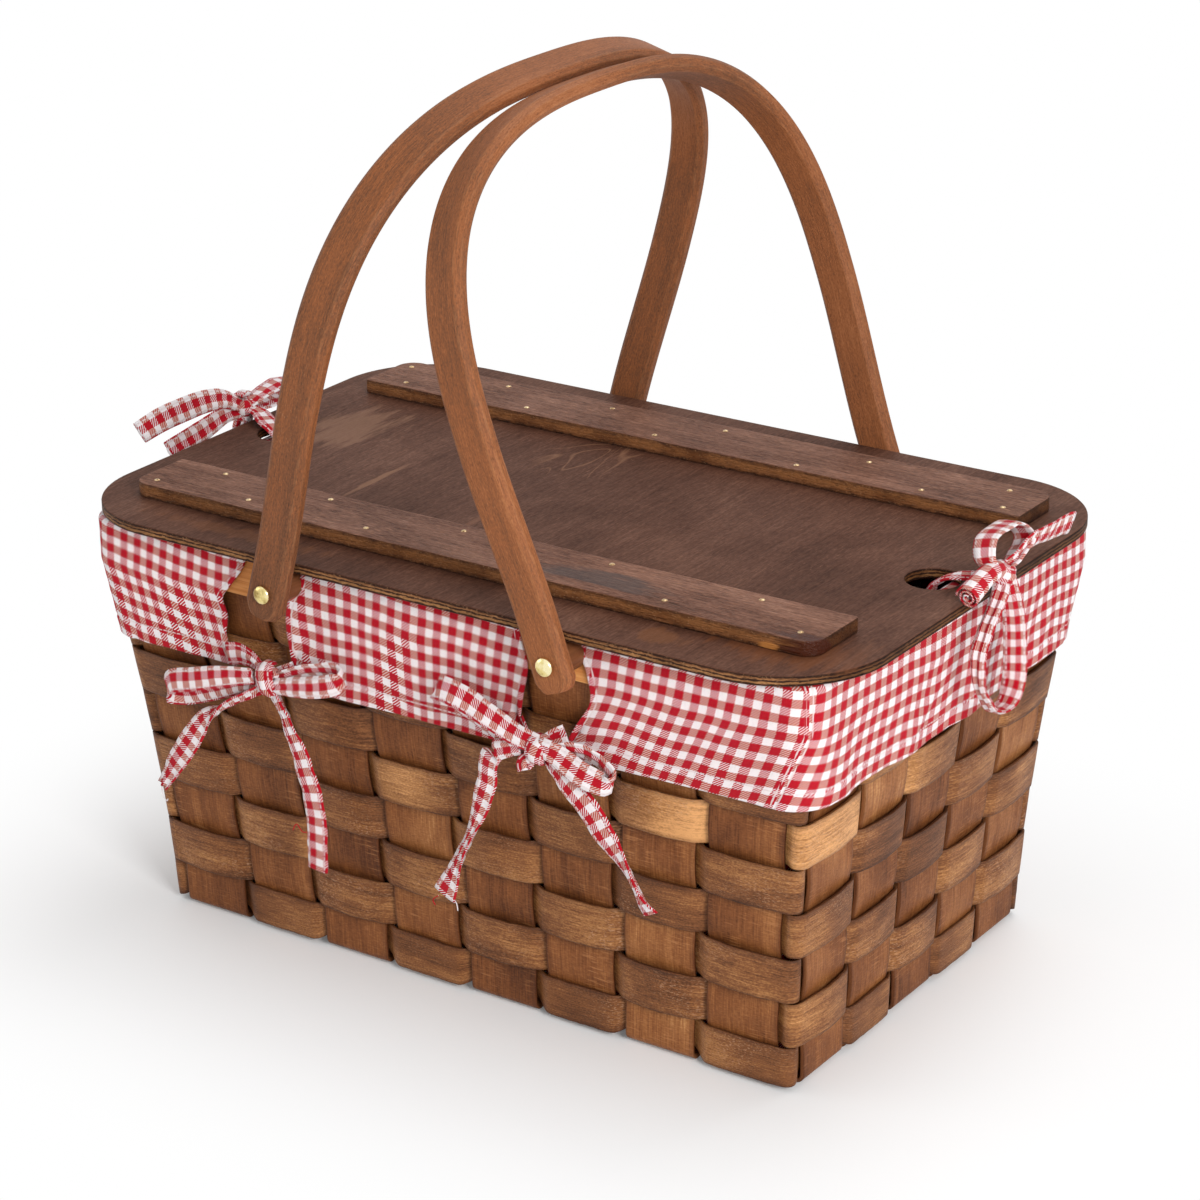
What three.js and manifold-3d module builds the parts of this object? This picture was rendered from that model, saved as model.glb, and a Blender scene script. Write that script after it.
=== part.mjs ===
// A picnic basket woven from flat wood splints, with a loose wooden lid on two battens, two bentwood
// swing handles on rivets, and a cloth liner whose skirt and ties hang outside.
// Millimetres, +Z up. The origin is at the bottom centre, X runs along the long side, the front is -Y.
import * as THREE from 'three';
import { mergeVertices } from 'three/addons/utils/BufferGeometryUtils.js';
import Module from 'manifold-3d';

const wasm = await Module();
wasm.setup();

// Clearance between two pieces that lie on each other
const clearance = 0.3;

// Lid panel, battens and finger holes
const lid = { halfLength: 210, halfWidth: 138.5, thickness: 5, corner: 52 };
const batten = { inset: 22, width: 37.5, thickness: 7, corner: 9, setback: 29, ease: 0.8 };
const fingerHole = { radius: 13, inset: 26 };

// Woven body: how far the lid overhangs the stakes' middle surface, and how far the walls lean out
const splint = 1.8;
const overhang = { x: 17, y: 15.5 };
const wallLean = { x: 17, y: 18.5 };
const flare = 0.6;
const weaverRows = 8;
const rowPitch = 23;
const rowGap = 0.6;
const longStakes = 8;
const endStakes = 5;
const stakeShare = 0.85;
const cornerRadius = 5;
const cornerMargin = 7;
const bendRadius = 3.5;
const weaverBulge = 1;
const crossingEase = 0.6;
const pressedHem = 1;
const raisedHem = 8;

// Rim bands, inside and outside the stakes' ends
const rimThickness = 4;
const rimHeight = 20.9;
const rimCorner = 12.5;

// Swing handles: each pivot is a little outside the middle of the stake that its rivet goes through
const pivotStake = { index: 5, shift: 6.42 };
const pivotDrop = 7.5;
const handle = { width: 20, thickness: 8.5, chamfer: 2.5, rise: 227, legRise: 102, bow: 5, fullness: 2.66 };
const legEnd = { length: 12.5, tipWidth: 10, shoulder: 4.5, straight: 16 };
const lidGap = 1.3;
const meetingPlace = -7;

// Rivets, burr washers and the spacers that hold the legs clear of the lid
const rivet = { shank: 2, head: 4.3, headHeight: 2.6, tail: 3.2, tailHeight: 1 };
const rivetPlay = 0.3;
const washer = { radius: 5.5, thickness: 1.2 };
const spacerRadius = 7.5;

// Cloth liner and its ties
const cloth = 1;
const skirtLength = 60;
const skirtWave = { count: 13, depth: 1.5, hem: 4, longSteps: 14, endSteps: 10 };
const liningCorner = 8;
const hemCorner = 22;
const notchCorner = 6;
const tie = { width: 12, thickness: 1.2, knot: 6.5 };

// Levels and faces that follow from the sizes above
const mouth = { x: lid.halfLength - overhang.x, y: lid.halfWidth - overhang.y };
const base = { x: mouth.x - wallLean.x, y: mouth.y - wallLean.y };
const layer = splint + clearance;
const baseLevel = splint / 2 + layer;
const rimLow = weaverRows * rowPitch + rowGap / 2;
const rimTop = rimLow + rimHeight;
const rimInside = splint / 2 + clearance;
const rimOutside = rimInside + rimThickness;
const clothLow = rimTop + clearance;
const clothTop = clothLow + cloth;
const lidLow = clothTop + clearance;
const lidTop = lidLow + lid.thickness;
const pivotHeight = rimTop - pivotDrop;
const legInside = lid.halfWidth + lidGap;
const legOutside = legInside + handle.thickness;
const skirtInside = rimOutside + clearance;
const liningOutside = -(rimOutside + washer.thickness + rivet.tailHeight + 3 * clearance);

const floorLevel = baseLevel + layer + splint / 2 + clearance;
const hemLevel = clothTop - skirtLength;

// The walls flare out a little more with height and are upright at the rim
function wallAt(z) {
  const rise = THREE.MathUtils.clamp((z - baseLevel) / (rimLow - baseLevel), 0, 1);
  const share = rise * (1 - flare + flare * rise);
  return {
    x: THREE.MathUtils.lerp(base.x, mouth.x, share),
    y: THREE.MathUtils.lerp(base.y, mouth.y, share),
  };
}

// The four sides, anticlockwise from the front: where each one runs, where it faces, and its stakes
const sides = [
  { along: [1, 0], out: [0, -1], reach: 'x', depth: 'y', stakes: longStakes },
  { along: [0, 1], out: [1, 0], reach: 'y', depth: 'x', stakes: endStakes },
  { along: [-1, 0], out: [0, 1], reach: 'x', depth: 'y', stakes: longStakes },
  { along: [0, -1], out: [-1, 0], reach: 'y', depth: 'x', stakes: endStakes },
];

// Width and place of stake number `n` of `count` on a wall whose half length at height z is `half`
function stakeAt(n, count, half) {
  const pitch = (2 * (half - cornerMargin)) / (count - 1 + stakeShare);
  return { middle: (n - (count - 1) / 2) * pitch, width: stakeShare * pitch };
}

// A point on a side's wall: `run` from the side's middle, `off` outwards from the middle surface
function onSide(side, run, off, z) {
  const out = wallAt(z)[side.depth] + off;
  return new THREE.Vector3(
    side.along[0] * run + side.out[0] * out,
    side.along[1] * run + side.out[1] * out,
    z,
  );
}

// A point on the rounded corner after a side, `turn` radians round it; `radius` is at that offset
function onCorner(side, turn, off, radius, z) {
  const wall = wallAt(z);
  const run = wall[side.reach] + off - radius + radius * Math.sin(turn);
  const out = wall[side.depth] + off - radius + radius * Math.cos(turn);
  return new THREE.Vector3(
    side.along[0] * run + side.out[0] * out,
    side.along[1] * run + side.out[1] * out,
    z,
  );
}

// Turns a closed mesh's faces outwards, which its signed volume tells
function facingOut(geometry) {
  const p = geometry.attributes.position;
  const index = geometry.index.array;
  const a = new THREE.Vector3();
  const b = new THREE.Vector3();
  const c = new THREE.Vector3();
  let volume = 0;
  for (let i = 0; i < index.length; i += 3) {
    a.fromBufferAttribute(p, index[i]);
    b.fromBufferAttribute(p, index[i + 1]);
    c.fromBufferAttribute(p, index[i + 2]);
    volume += a.dot(b.cross(c));
  }
  if (volume < 0) {
    for (let i = 0; i < index.length; i += 3) {
      const first = index[i];
      index[i] = index[i + 1];
      index[i + 1] = first;
    }
  }
  geometry.computeVertexNormals();
  return geometry;
}

// Skins a row of sections with equal corner counts: a ring closes on itself, a strip has two end caps
function loft(sections, ring) {
  const corners = sections[0].length;
  const index = [];
  const joints = ring ? sections.length : sections.length - 1;
  for (let i = 0; i < joints; i += 1) {
    const near = i * corners;
    const far = ((i + 1) % sections.length) * corners;
    for (let k = 0; k < corners; k += 1) {
      const next = (k + 1) % corners;
      index.push(near + k, near + next, far + next, near + k, far + next, far + k);
    }
  }
  if (!ring) {
    const last = (sections.length - 1) * corners;
    for (let k = 1; k < corners - 1; k += 1) {
      index.push(0, k + 1, k);
      index.push(last, last + k, last + k + 1);
    }
  }
  const geometry = new THREE.BufferGeometry().setFromPoints(sections.flat());
  geometry.setIndex(index);
  return facingOut(geometry);
}

function toSolid(geometry) {
  const bare = new THREE.BufferGeometry();
  bare.setAttribute('position', geometry.attributes.position);
  bare.setIndex(geometry.index);
  const merged = mergeVertices(bare, 1e-4);
  return new wasm.Manifold(new wasm.Mesh({
    numProp: 3,
    vertProperties: new Float32Array(merged.attributes.position.array),
    triVerts: new Uint32Array(merged.index.array),
  }));
}

function toGeometry(solid) {
  const mesh = solid.getMesh();
  const geometry = new THREE.BufferGeometry();
  geometry.setAttribute('position', new THREE.BufferAttribute(mesh.vertProperties, mesh.numProp));
  geometry.setIndex(Array.from(mesh.triVerts));
  geometry.computeVertexNormals();
  return geometry;
}

function cut(geometry, tools) {
  const solid = tools.reduce((left, tool) => left.subtract(toSolid(tool)), toSolid(geometry));
  return toGeometry(solid);
}

function joined(pieces) {
  const solid = pieces.slice(1).reduce((all, piece) => all.add(toSolid(piece)), toSolid(pieces[0]));
  return toGeometry(solid);
}

const finish = {
  splint: { color: 0x7a5233, roughness: 0.75, metalness: 0 },
  rim: { color: 0xaa6e3c, roughness: 0.7, metalness: 0 },
  lid: { color: 0x5f4437, roughness: 0.6, metalness: 0 },
  batten: { color: 0x6e554b, roughness: 0.65, metalness: 0 },
  handle: { color: 0xa56441, roughness: 0.45, metalness: 0 },
  brass: { color: 0xc9a24d, roughness: 0.25, metalness: 1 },
  cloth: { color: 0xd8a0a0, roughness: 0.9, metalness: 0 },
};

const basket = new THREE.Group();

function addPiece(name, geometry, look) {
  const mesh = new THREE.Mesh(geometry, new THREE.MeshStandardMaterial(finish[look]));
  mesh.name = name;
  basket.add(mesh);
  return mesh;
}

// Rivet holes: round tools along Y through every wall that a rivet passes
const drilled = stakeAt(pivotStake.index, longStakes, wallAt(pivotHeight).x);
const pivotPlaces = [-drilled.middle - pivotStake.shift, drilled.middle + pivotStake.shift];

function boreAt(x, y, z, length) {
  const tool = new THREE.CylinderGeometry(rivet.shank + rivetPlay, rivet.shank + rivetPlay, length, 12);
  return tool.translate(x, y, z);
}

function rimBores() {
  const tools = [];
  for (const x of pivotPlaces) {
    for (const face of [-1, 1]) {
      tools.push(boreAt(x, face * wallAt(pivotHeight).y, pivotHeight, 6 * rimThickness));
    }
  }
  return tools;
}

// Stakes: one U of splint each, down a wall, across the base and up the opposite wall
function wallSection(side, n, z) {
  const { middle, width } = stakeAt(n, side.stakes, wallAt(z)[side.reach]);
  return [
    onSide(side, middle - width / 2, splint / 2, z),
    onSide(side, middle + width / 2, splint / 2, z),
    onSide(side, middle + width / 2, -splint / 2, z),
    onSide(side, middle - width / 2, -splint / 2, z),
  ];
}

// A section of the bend or of the base: `in2d` gives depth and height for an offset from the splint
function flatSection(side, middle, width, in2d) {
  return [[-1, 1], [1, 1], [1, -1], [-1, -1]].map(([end, face]) => {
    const { depth, z } = in2d((face * splint) / 2);
    const run = middle + (end * width) / 2;
    return new THREE.Vector3(
      side.along[0] * run + side.out[0] * depth,
      side.along[1] * run + side.out[1] * depth,
      z,
    );
  });
}

// The half of a stake on one side, from its top end to the inner end of its bend
function stakeHalf(side, n, level) {
  const top = level + bendRadius;
  const { middle, width } = stakeAt(n, side.stakes, wallAt(top)[side.reach]);
  const bendDepth = wallAt(top)[side.depth] - bendRadius;
  const sections = [wallSection(side, n, rimTop), wallSection(side, n, rimLow)];
  for (let row = weaverRows - 1; row > 0; row -= 1) {
    sections.push(wallSection(side, n, row * rowPitch));
  }
  for (const turn of [0, Math.PI / 6, Math.PI / 3, Math.PI / 2]) {
    sections.push(flatSection(side, middle, width, (off) => ({
      depth: bendDepth + (bendRadius + off) * Math.cos(turn),
      z: top - (bendRadius + off) * Math.sin(turn),
    })));
  }
  return sections;
}

// On the facing side the same stake is counted from the other end, and its section turns over
function facingHalf(side, n, level) {
  const other = sides[(sides.indexOf(side) + 2) % 4];
  const half = stakeHalf(other, side.stakes - 1 - n, level);
  return half.map(([a, b, c, d]) => [b, a, d, c]).reverse();
}

const crosswiseLevel = () => baseLevel;

// A lengthwise strip passes under every second crosswise strip and over the others
function lengthwiseLevel(lengthwise, crosswise) {
  return (lengthwise + crosswise) % 2 === 0 ? baseLevel - layer : baseLevel + layer;
}

function crosswiseStake(n) {
  const side = sides[0];
  const level = crosswiseLevel();
  return loft([...stakeHalf(side, n, level), ...facingHalf(side, n, level)], false);
}

function lengthwiseStake(n) {
  const side = sides[1];
  const wall = wallAt(baseLevel);
  const { middle, width } = stakeAt(n, endStakes, wall.y);
  const crossings = [];
  for (let k = longStakes - 1; k >= 0; k -= 1) {
    const crossed = stakeAt(k, longStakes, wall.x);
    const level = lengthwiseLevel(n, k);
    for (const end of [1, -1]) {
      const depth = crossed.middle + end * (crossed.width / 2 + crossingEase);
      crossings.push(flatSection(side, middle, width, (off) => ({ depth, z: level - off })));
    }
  }
  return loft([
    ...stakeHalf(side, n, lengthwiseLevel(n, longStakes - 1)),
    ...crossings,
    ...facingHalf(side, n, lengthwiseLevel(n, 0)),
  ], false);
}

for (let n = 0; n < longStakes; n += 1) {
  const half = wallAt(pivotHeight);
  const { middle, width } = stakeAt(n, longStakes, half.x);
  const bored = pivotPlaces.some((x) => Math.abs(x - middle) < width / 2);
  const stake = crosswiseStake(n);
  addPiece(`crosswise_stake_${n + 1}`, bored ? cut(stake, rimBores()) : stake, 'splint');
}
for (let n = 0; n < endStakes; n += 1) {
  addPiece(`lengthwise_stake_${n + 1}`, lengthwiseStake(n), 'splint');
}

// Weavers: rings that pass outside and inside the stakes by turns, with the rows in step by one
function weaver(row) {
  const low = row * rowPitch + rowGap / 2;
  const high = (row + 1) * rowPitch - rowGap / 2;
  const sections = [];
  const place = (at, off, hem) => {
    sections.push([
      at(off + splint / 2, hem),
      at(off + splint / 2, high),
      at(off - splint / 2, high),
      at(off - splint / 2, hem),
    ]);
  };
  const hemFor = (outside) => {
    if (row > 0) return low;
    return outside ? pressedHem : raisedHem;
  };
  let counted = 0;
  for (const side of sides) {
    for (let n = 0; n < side.stakes; n += 1) {
      const outside = (counted + row) % 2 === 1;
      const sign = outside ? 1 : -1;
      for (const end of [-1, 0, 1]) {
        const off = sign * (end === 0 ? layer + weaverBulge : layer);
        place((shift, z) => {
          const { middle, width } = stakeAt(n, side.stakes, wallAt(z)[side.reach]);
          return onSide(side, middle + end * (width / 2 + crossingEase), shift, z);
        }, off, hemFor(outside));
      }
      counted += 1;
    }
    const fromOutside = (counted - 1 + row) % 2 === 1;
    const midway = (pressedHem + raisedHem) / 2;
    for (const [turn, wraps] of [[0, fromOutside], [0.5, true], [1, !fromOutside]]) {
      const off = wraps ? layer : 0.3 * layer;
      const hem = row > 0 || wraps ? hemFor(true) : midway;
      place((shift, z) => onCorner(side, (turn * Math.PI) / 2, shift, cornerRadius + shift, z), off, hem);
    }
  }
  return loft(sections, true);
}

for (let row = 0; row < weaverRows; row += 1) {
  addPiece(`weaver_${row + 1}`, weaver(row), 'splint');
}

// Rim bands
function rimBand(inner, outer) {
  const sections = [];
  for (const side of sides) {
    for (let step = 0; step <= 4; step += 1) {
      const turn = (step / 4) * (Math.PI / 2);
      const at = (off, z) => onCorner(side, turn, off, rimCorner + off - rimOutside, z);
      sections.push([at(outer, rimLow), at(outer, rimTop), at(inner, rimTop), at(inner, rimLow)]);
    }
  }
  return cut(loft(sections, true), rimBores());
}

addPiece('rim_outer', rimBand(rimInside, rimOutside), 'rim');
addPiece('rim_inner', rimBand(-rimOutside, -rimInside), 'rim');

// Liner: a cloth tray inside, folded over the rim into a skirt that waves a little towards its hem.
// The wave at a place on a side goes from -1 to 1.
function skirtFold(side, run) {
  const share = (sides.indexOf(side) + (run / wallAt(rimLow)[side.reach] + 1) / 2) / 4;
  return {
    out: Math.sin(share * skirtWave.count * 2 * Math.PI + Math.sin(share * 6 * Math.PI)),
    up: Math.cos(share * 8 * Math.PI),
  };
}

function clothRing({ off, z, radius, swell = 0, dip = 0, hung = false }) {
  const points = [];
  const level = hung ? rimLow : z;
  const place = (side, run, at) => {
    const fold = skirtFold(side, run);
    const point = at(off + swell * skirtWave.depth * fold.out);
    point.z = z + dip * skirtWave.hem * fold.up;
    points.push(point);
  };
  for (const side of sides) {
    const half = wallAt(level)[side.reach] + off - radius;
    const steps = side.stakes === longStakes ? skirtWave.longSteps : skirtWave.endSteps;
    for (let k = 1; k < steps; k += 1) {
      const run = half * ((2 * k) / steps - 1);
      place(side, run, (shift) => onSide(side, run, shift, level));
    }
    for (let step = 0; step <= 4; step += 1) {
      const turn = (step / 4) * (Math.PI / 2);
      place(side, half + radius * Math.sin(turn), (shift) => (
        onCorner(side, turn, shift, radius + shift - off, level)
      ));
    }
  }
  return points;
}

function linerBody() {
  const skirtMiddle = (clothLow + hemLevel) / 2;
  const liningMiddle = (clothLow + floorLevel) / 2;
  const rimFold = rimCorner + skirtInside - rimOutside;
  const lining = { off: liningOutside, radius: liningCorner };
  const liningFace = { off: liningOutside - cloth, radius: liningCorner };
  const skirt = { off: skirtInside, radius: rimFold, hung: true };
  const skirtFace = { off: skirtInside + cloth, radius: rimFold + cloth, hung: true };
  const middle = { z: skirtMiddle, swell: 0.5 };
  const hem = { z: hemLevel, swell: 1, dip: 1 };
  return loft([
    clothRing({ ...lining, z: floorLevel }),
    clothRing({ ...lining, z: liningMiddle }),
    clothRing({ ...lining, z: clothLow }),
    clothRing({ ...skirt, z: clothLow }),
    clothRing({ ...skirt, z: rimLow }),
    clothRing({ ...skirt, ...middle, radius: (rimFold + hemCorner) / 2 }),
    clothRing({ ...skirt, ...hem, radius: hemCorner }),
    clothRing({ ...skirtFace, ...hem, radius: hemCorner + cloth }),
    clothRing({ ...skirtFace, ...middle, radius: (rimFold + hemCorner) / 2 + cloth }),
    clothRing({ ...skirtFace, z: rimLow }),
    clothRing({ ...skirtFace, z: clothLow }),
    clothRing({ ...skirtFace, off: skirtInside + cloth / 2, z: clothTop }),
    clothRing({ ...liningFace, z: clothTop }),
    clothRing({ ...liningFace, z: liningMiddle }),
    clothRing({ ...liningFace, z: floorLevel + cloth }),
  ], false);
}

// The skirt is open at each leg from its hem to the rim's top. Each edge is given from its pivot
// along X, at the top and at the hem.
const notches = [
  { pivot: 0, face: -1, top: [-40.5, 9], hem: [-35.5, -0.5] },
  { pivot: 1, face: -1, top: [-22.5, 12.5], hem: [-25.5, 5.5] },
  { pivot: 0, face: 1, top: [-14.5, 13.5], hem: [-10.5, 17.5] },
  { pivot: 1, face: 1, top: [-13.5, 18.5], hem: [-19.5, 12.5] },
];

function notchTool({ pivot, face, top, hem }) {
  const low = hemLevel - 3 * skirtWave.hem;
  const outline = new THREE.Shape();
  outline.moveTo(hem[0], low);
  outline.lineTo(hem[1], low);
  outline.lineTo(top[1], pivotHeight);
  outline.lineTo(top[1] - notchCorner / 2, clothLow);
  outline.lineTo(top[0] + notchCorner, clothLow);
  outline.lineTo(top[0], pivotHeight - notchCorner);
  outline.closePath();
  const depth = 6 * rimThickness;
  const tool = new THREE.ExtrudeGeometry(outline, { depth, bevelEnabled: false });
  tool.rotateX(Math.PI / 2);
  const inner = wallAt(rimLow).y + rimInside - 2 * rimThickness;
  return tool.translate(pivotPlaces[pivot], face > 0 ? inner + depth : -inner, 0);
}

addPiece('liner', cut(linerBody(), notches.map(notchTool)), 'cloth');

// Lid panel with its two finger holes, and the battens across its top
function roundedRectangle(halfX, halfY, radius) {
  const outline = new THREE.Shape();
  outline.moveTo(halfX - radius, -halfY);
  outline.absarc(halfX - radius, -halfY + radius, radius, -Math.PI / 2, 0, false);
  outline.absarc(halfX - radius, halfY - radius, radius, 0, Math.PI / 2, false);
  outline.absarc(-halfX + radius, halfY - radius, radius, Math.PI / 2, Math.PI, false);
  outline.absarc(-halfX + radius, -halfY + radius, radius, Math.PI, 1.5 * Math.PI, false);
  return outline;
}

function lidPanel() {
  const outline = roundedRectangle(lid.halfLength, lid.halfWidth, lid.corner);
  for (const end of [-1, 1]) {
    const hole = new THREE.Path();
    hole.absarc(end * (lid.halfLength - fingerHole.inset), 0, fingerHole.radius, 0, 2 * Math.PI, true);
    outline.holes.push(hole);
  }
  const panel = new THREE.ExtrudeGeometry(outline, {
    depth: lid.thickness,
    bevelEnabled: false,
    curveSegments: 10,
  });
  return panel.translate(0, 0, lidLow);
}

function lidBatten(face) {
  const { width, corner, ease } = batten;
  const halfLength = lid.halfLength - batten.inset;
  const shape = roundedRectangle(halfLength - ease, width / 2 - ease, corner);
  const strip = new THREE.ExtrudeGeometry(shape, {
    depth: batten.thickness - 2 * ease,
    bevelThickness: ease,
    bevelSize: ease,
    bevelSegments: 1,
    curveSegments: 4,
  });
  const middle = lid.halfWidth - batten.setback - width / 2;
  return strip.translate(0, face * middle, lidTop + clearance + ease);
}

addPiece('lid_panel', lidPanel(), 'lid');
addPiece('lid_batten_front', lidBatten(-1), 'batten');
addPiece('lid_batten_back', lidBatten(1), 'batten');

// Handles: a chamfered bar bent into a horseshoe, drawn upright about its pivot and then leaned in
function handlePath() {
  const pivotY = legInside + handle.thickness / 2;
  const fullY = pivotY + handle.bow;
  const legY = (rise) => {
    const share = THREE.MathUtils.smoothstep(rise, legEnd.straight, handle.legRise);
    return THREE.MathUtils.lerp(pivotY, fullY, share);
  };
  const leg = [];
  for (const rise of [-legEnd.length, -legEnd.length / 2, -legEnd.shoulder / 2, legEnd.straight]) {
    leg.push(new THREE.Vector2(-legY(rise), rise));
  }
  const legSteps = 6;
  for (let k = 1; k < legSteps; k += 1) {
    const rise = THREE.MathUtils.lerp(legEnd.straight, handle.legRise, k / legSteps);
    leg.push(new THREE.Vector2(-legY(rise), rise));
  }
  // The crown is a superellipse on the legs' full spread
  const crown = [];
  const crownSteps = 20;
  for (let k = 0; k <= crownSteps; k += 1) {
    const turn = (k / crownSteps) * Math.PI;
    const across = Math.sign(Math.cos(turn)) * Math.abs(Math.cos(turn)) ** (2 / handle.fullness);
    const up = Math.sin(turn) ** (2 / handle.fullness);
    const rise = THREE.MathUtils.lerp(handle.legRise, handle.rise, up);
    crown.push(new THREE.Vector2(-fullY * across, rise));
  }
  const back = leg.map((point) => new THREE.Vector2(-point.x, point.y)).reverse();
  return [...leg, ...crown, ...back];
}

function handleBar() {
  const path = handlePath();
  const sections = path.map((point, i) => {
    const before = path[Math.max(i - 1, 0)];
    const after = path[Math.min(i + 1, path.length - 1)];
    const direction = after.clone().sub(before).normalize();
    const rise = point.y;
    const taper = THREE.MathUtils.clamp((rise + legEnd.length) / (legEnd.length - legEnd.shoulder), 0, 1);
    const halfWidth = THREE.MathUtils.lerp(legEnd.tipWidth, handle.width, Math.sqrt(taper)) / 2;
    const halfThick = handle.thickness / 2;
    const corner = Math.min(handle.chamfer, halfWidth / 2);
    const outline = [];
    for (const [sx, st] of [[-1, -1], [1, -1], [1, 1], [-1, 1]]) {
      const eased = [[sx * (halfWidth - corner), st * halfThick], [sx * halfWidth, st * (halfThick - corner)]];
      outline.push(...(sx * st > 0 ? eased.reverse() : eased));
    }
    return outline.map(([x, thick]) => new THREE.Vector3(
      x,
      point.x - direction.y * thick,
      point.y + direction.x * thick,
    ));
  });
  const bore = boreAt(0, 0, 0, 4 * lid.halfWidth);
  return cut(loft(sections, false), [bore]);
}

// The lean at which the crown's inner edge reaches the place where the handles rest on each other
function leanFor(pivotX) {
  const side = handle.width / 2;
  const up = handle.rise + handle.thickness / 2 - handle.chamfer;
  const travel = Math.abs(meetingPlace - pivotX) - clearance / 2;
  return Math.asin(travel / Math.hypot(side, up)) - Math.atan2(side, up);
}

for (const [name, x] of [['handle_left', pivotPlaces[0]], ['handle_right', pivotPlaces[1]]]) {
  const bar = addPiece(name, handleBar(), 'handle');
  bar.position.set(x, 0, pivotHeight);
  bar.rotation.y = -Math.sign(x) * leanFor(x);
}

// Rivets, washers and spacers, turned about the pivot axis; `face` is the wall they stand on
function turned(profile, face) {
  const points = profile.map(([radius, along]) => new THREE.Vector2(radius, along));
  const body = new THREE.LatheGeometry(points, 12);
  return face < 0 ? body.rotateZ(Math.PI) : body;
}

function ringProfile(inner, outer, from, to) {
  return [[inner, from], [outer, from], [outer, to], [inner, to], [inner, from]];
}

const wallY = wallAt(pivotHeight).y;
const washerSeat = wallAt(pivotHeight - washer.radius).y - rimOutside - clearance;
const spacerSeat = wallAt(pivotHeight + spacerRadius).y + rimOutside + clearance;

function rivetProfile() {
  const headSeat = legOutside + clearance;
  const tailSeat = washerSeat - washer.thickness - clearance;
  return [
    [0, tailSeat - rivet.tailHeight],
    [0.7 * rivet.tail, tailSeat - 0.7 * rivet.tailHeight],
    [rivet.tail, tailSeat],
    [rivet.shank, tailSeat],
    [rivet.shank, headSeat],
    [rivet.head, headSeat],
    [rivet.head, headSeat + 0.2 * rivet.headHeight],
    [0.87 * rivet.head, headSeat + 0.6 * rivet.headHeight],
    [0.5 * rivet.head, headSeat + 0.9 * rivet.headHeight],
    [0, headSeat + rivet.headHeight],
  ];
}

const hole = rivet.shank + rivetPlay;
for (const [end, x] of [['left', pivotPlaces[0]], ['right', pivotPlaces[1]]]) {
  for (const [wall, face] of [['front', -1], ['back', 1]]) {
    const place = `${end}_${wall}`;
    const pieces = {
      rivet: turned(rivetProfile(), face),
      rivet_washer: turned(ringProfile(hole, washer.radius, washerSeat - washer.thickness, washerSeat), face),
      handle_spacer: turned(ringProfile(hole, spacerRadius, spacerSeat, legInside - clearance), face),
    };
    for (const [kind, geometry] of Object.entries(pieces)) {
      const look = kind === 'handle_spacer' ? 'handle' : 'brass';
      addPiece(`${kind}_${place}`, geometry, look).position.set(x, 0, pivotHeight);
    }
  }
}

// Ties: flat tapes along smooth curves, joined in a knot. `flat` gives the way the tape's face looks.
function tape(points, flat, steps) {
  const curve = new THREE.CatmullRomCurve3(points.map((p) => new THREE.Vector3(...p)));
  const sections = [];
  for (let k = 0; k <= steps; k += 1) {
    const middle = curve.getPoint(k / steps);
    const along = curve.getTangent(k / steps);
    const across = flat.edge
      ? flat.edge.clone().addScaledVector(along, -along.dot(flat.edge)).normalize()
      : along.clone().cross(flat.face).normalize();
    const up = across.clone().cross(along).normalize();
    sections.push([[-1, -1], [1, -1], [1, 1], [-1, 1]].map(([side, face]) => middle.clone()
      .addScaledVector(across, (side * tie.width) / 2)
      .addScaledVector(up, (face * tie.thickness) / 2)));
  }
  return loft(sections, false);
}

function knot(size) {
  return new THREE.SphereGeometry(1, 8, 6).scale(...size);
}

// A bow's loop leaves the knot, turns at its tip and comes back behind itself
function bowLoop(tip, drop, depth) {
  const edge = new THREE.Vector3(-drop, 0, tip).normalize();
  return tape([
    [0, -depth / 2, 0],
    [0.5 * tip, -depth * 0.75, 0.45 * drop],
    [0.9 * tip, -depth / 2, 0.9 * drop],
    [tip, 0, drop],
    [0.9 * tip, depth / 2, 0.9 * drop],
    [0.5 * tip, depth * 0.75, 0.45 * drop],
    [0, depth / 2, 0],
  ], { edge }, 10);
}

const tieDepth = 5;

// `strap` is how far the tie runs to the cloth on each side of its knot
function sideBow(shape) {
  const face = new THREE.Vector3(0, -1, 0);
  const [left, right] = shape.strap;
  const behind = (run) => {
    const x = pivotPlaces[shape.pivot] + shape.knot[0];
    const fold = skirtFold(shape.face < 0 ? sides[0] : sides[2], run - shape.face * x);
    return tieDepth + skirtWave.depth * (1 - Math.max(fold.out, fold.out / 2));
  };
  const pieces = [
    knot([tie.knot, tieDepth, tie.knot]),
    tape([[-left, behind(-left), 9], [8 - left, behind(8 - left), 7], [0, 0, 0],
      [right - 8, behind(right - 8), 7], [right, behind(right), 9]], { face }, 10),
  ];
  for (const [tip, drop] of shape.loops) {
    pieces.push(bowLoop(tip, drop, tieDepth));
  }
  for (const tail of shape.tails) {
    pieces.push(tape([[0, 0, 0], ...tail], { face }, 7));
  }
  return joined(pieces);
}

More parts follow.
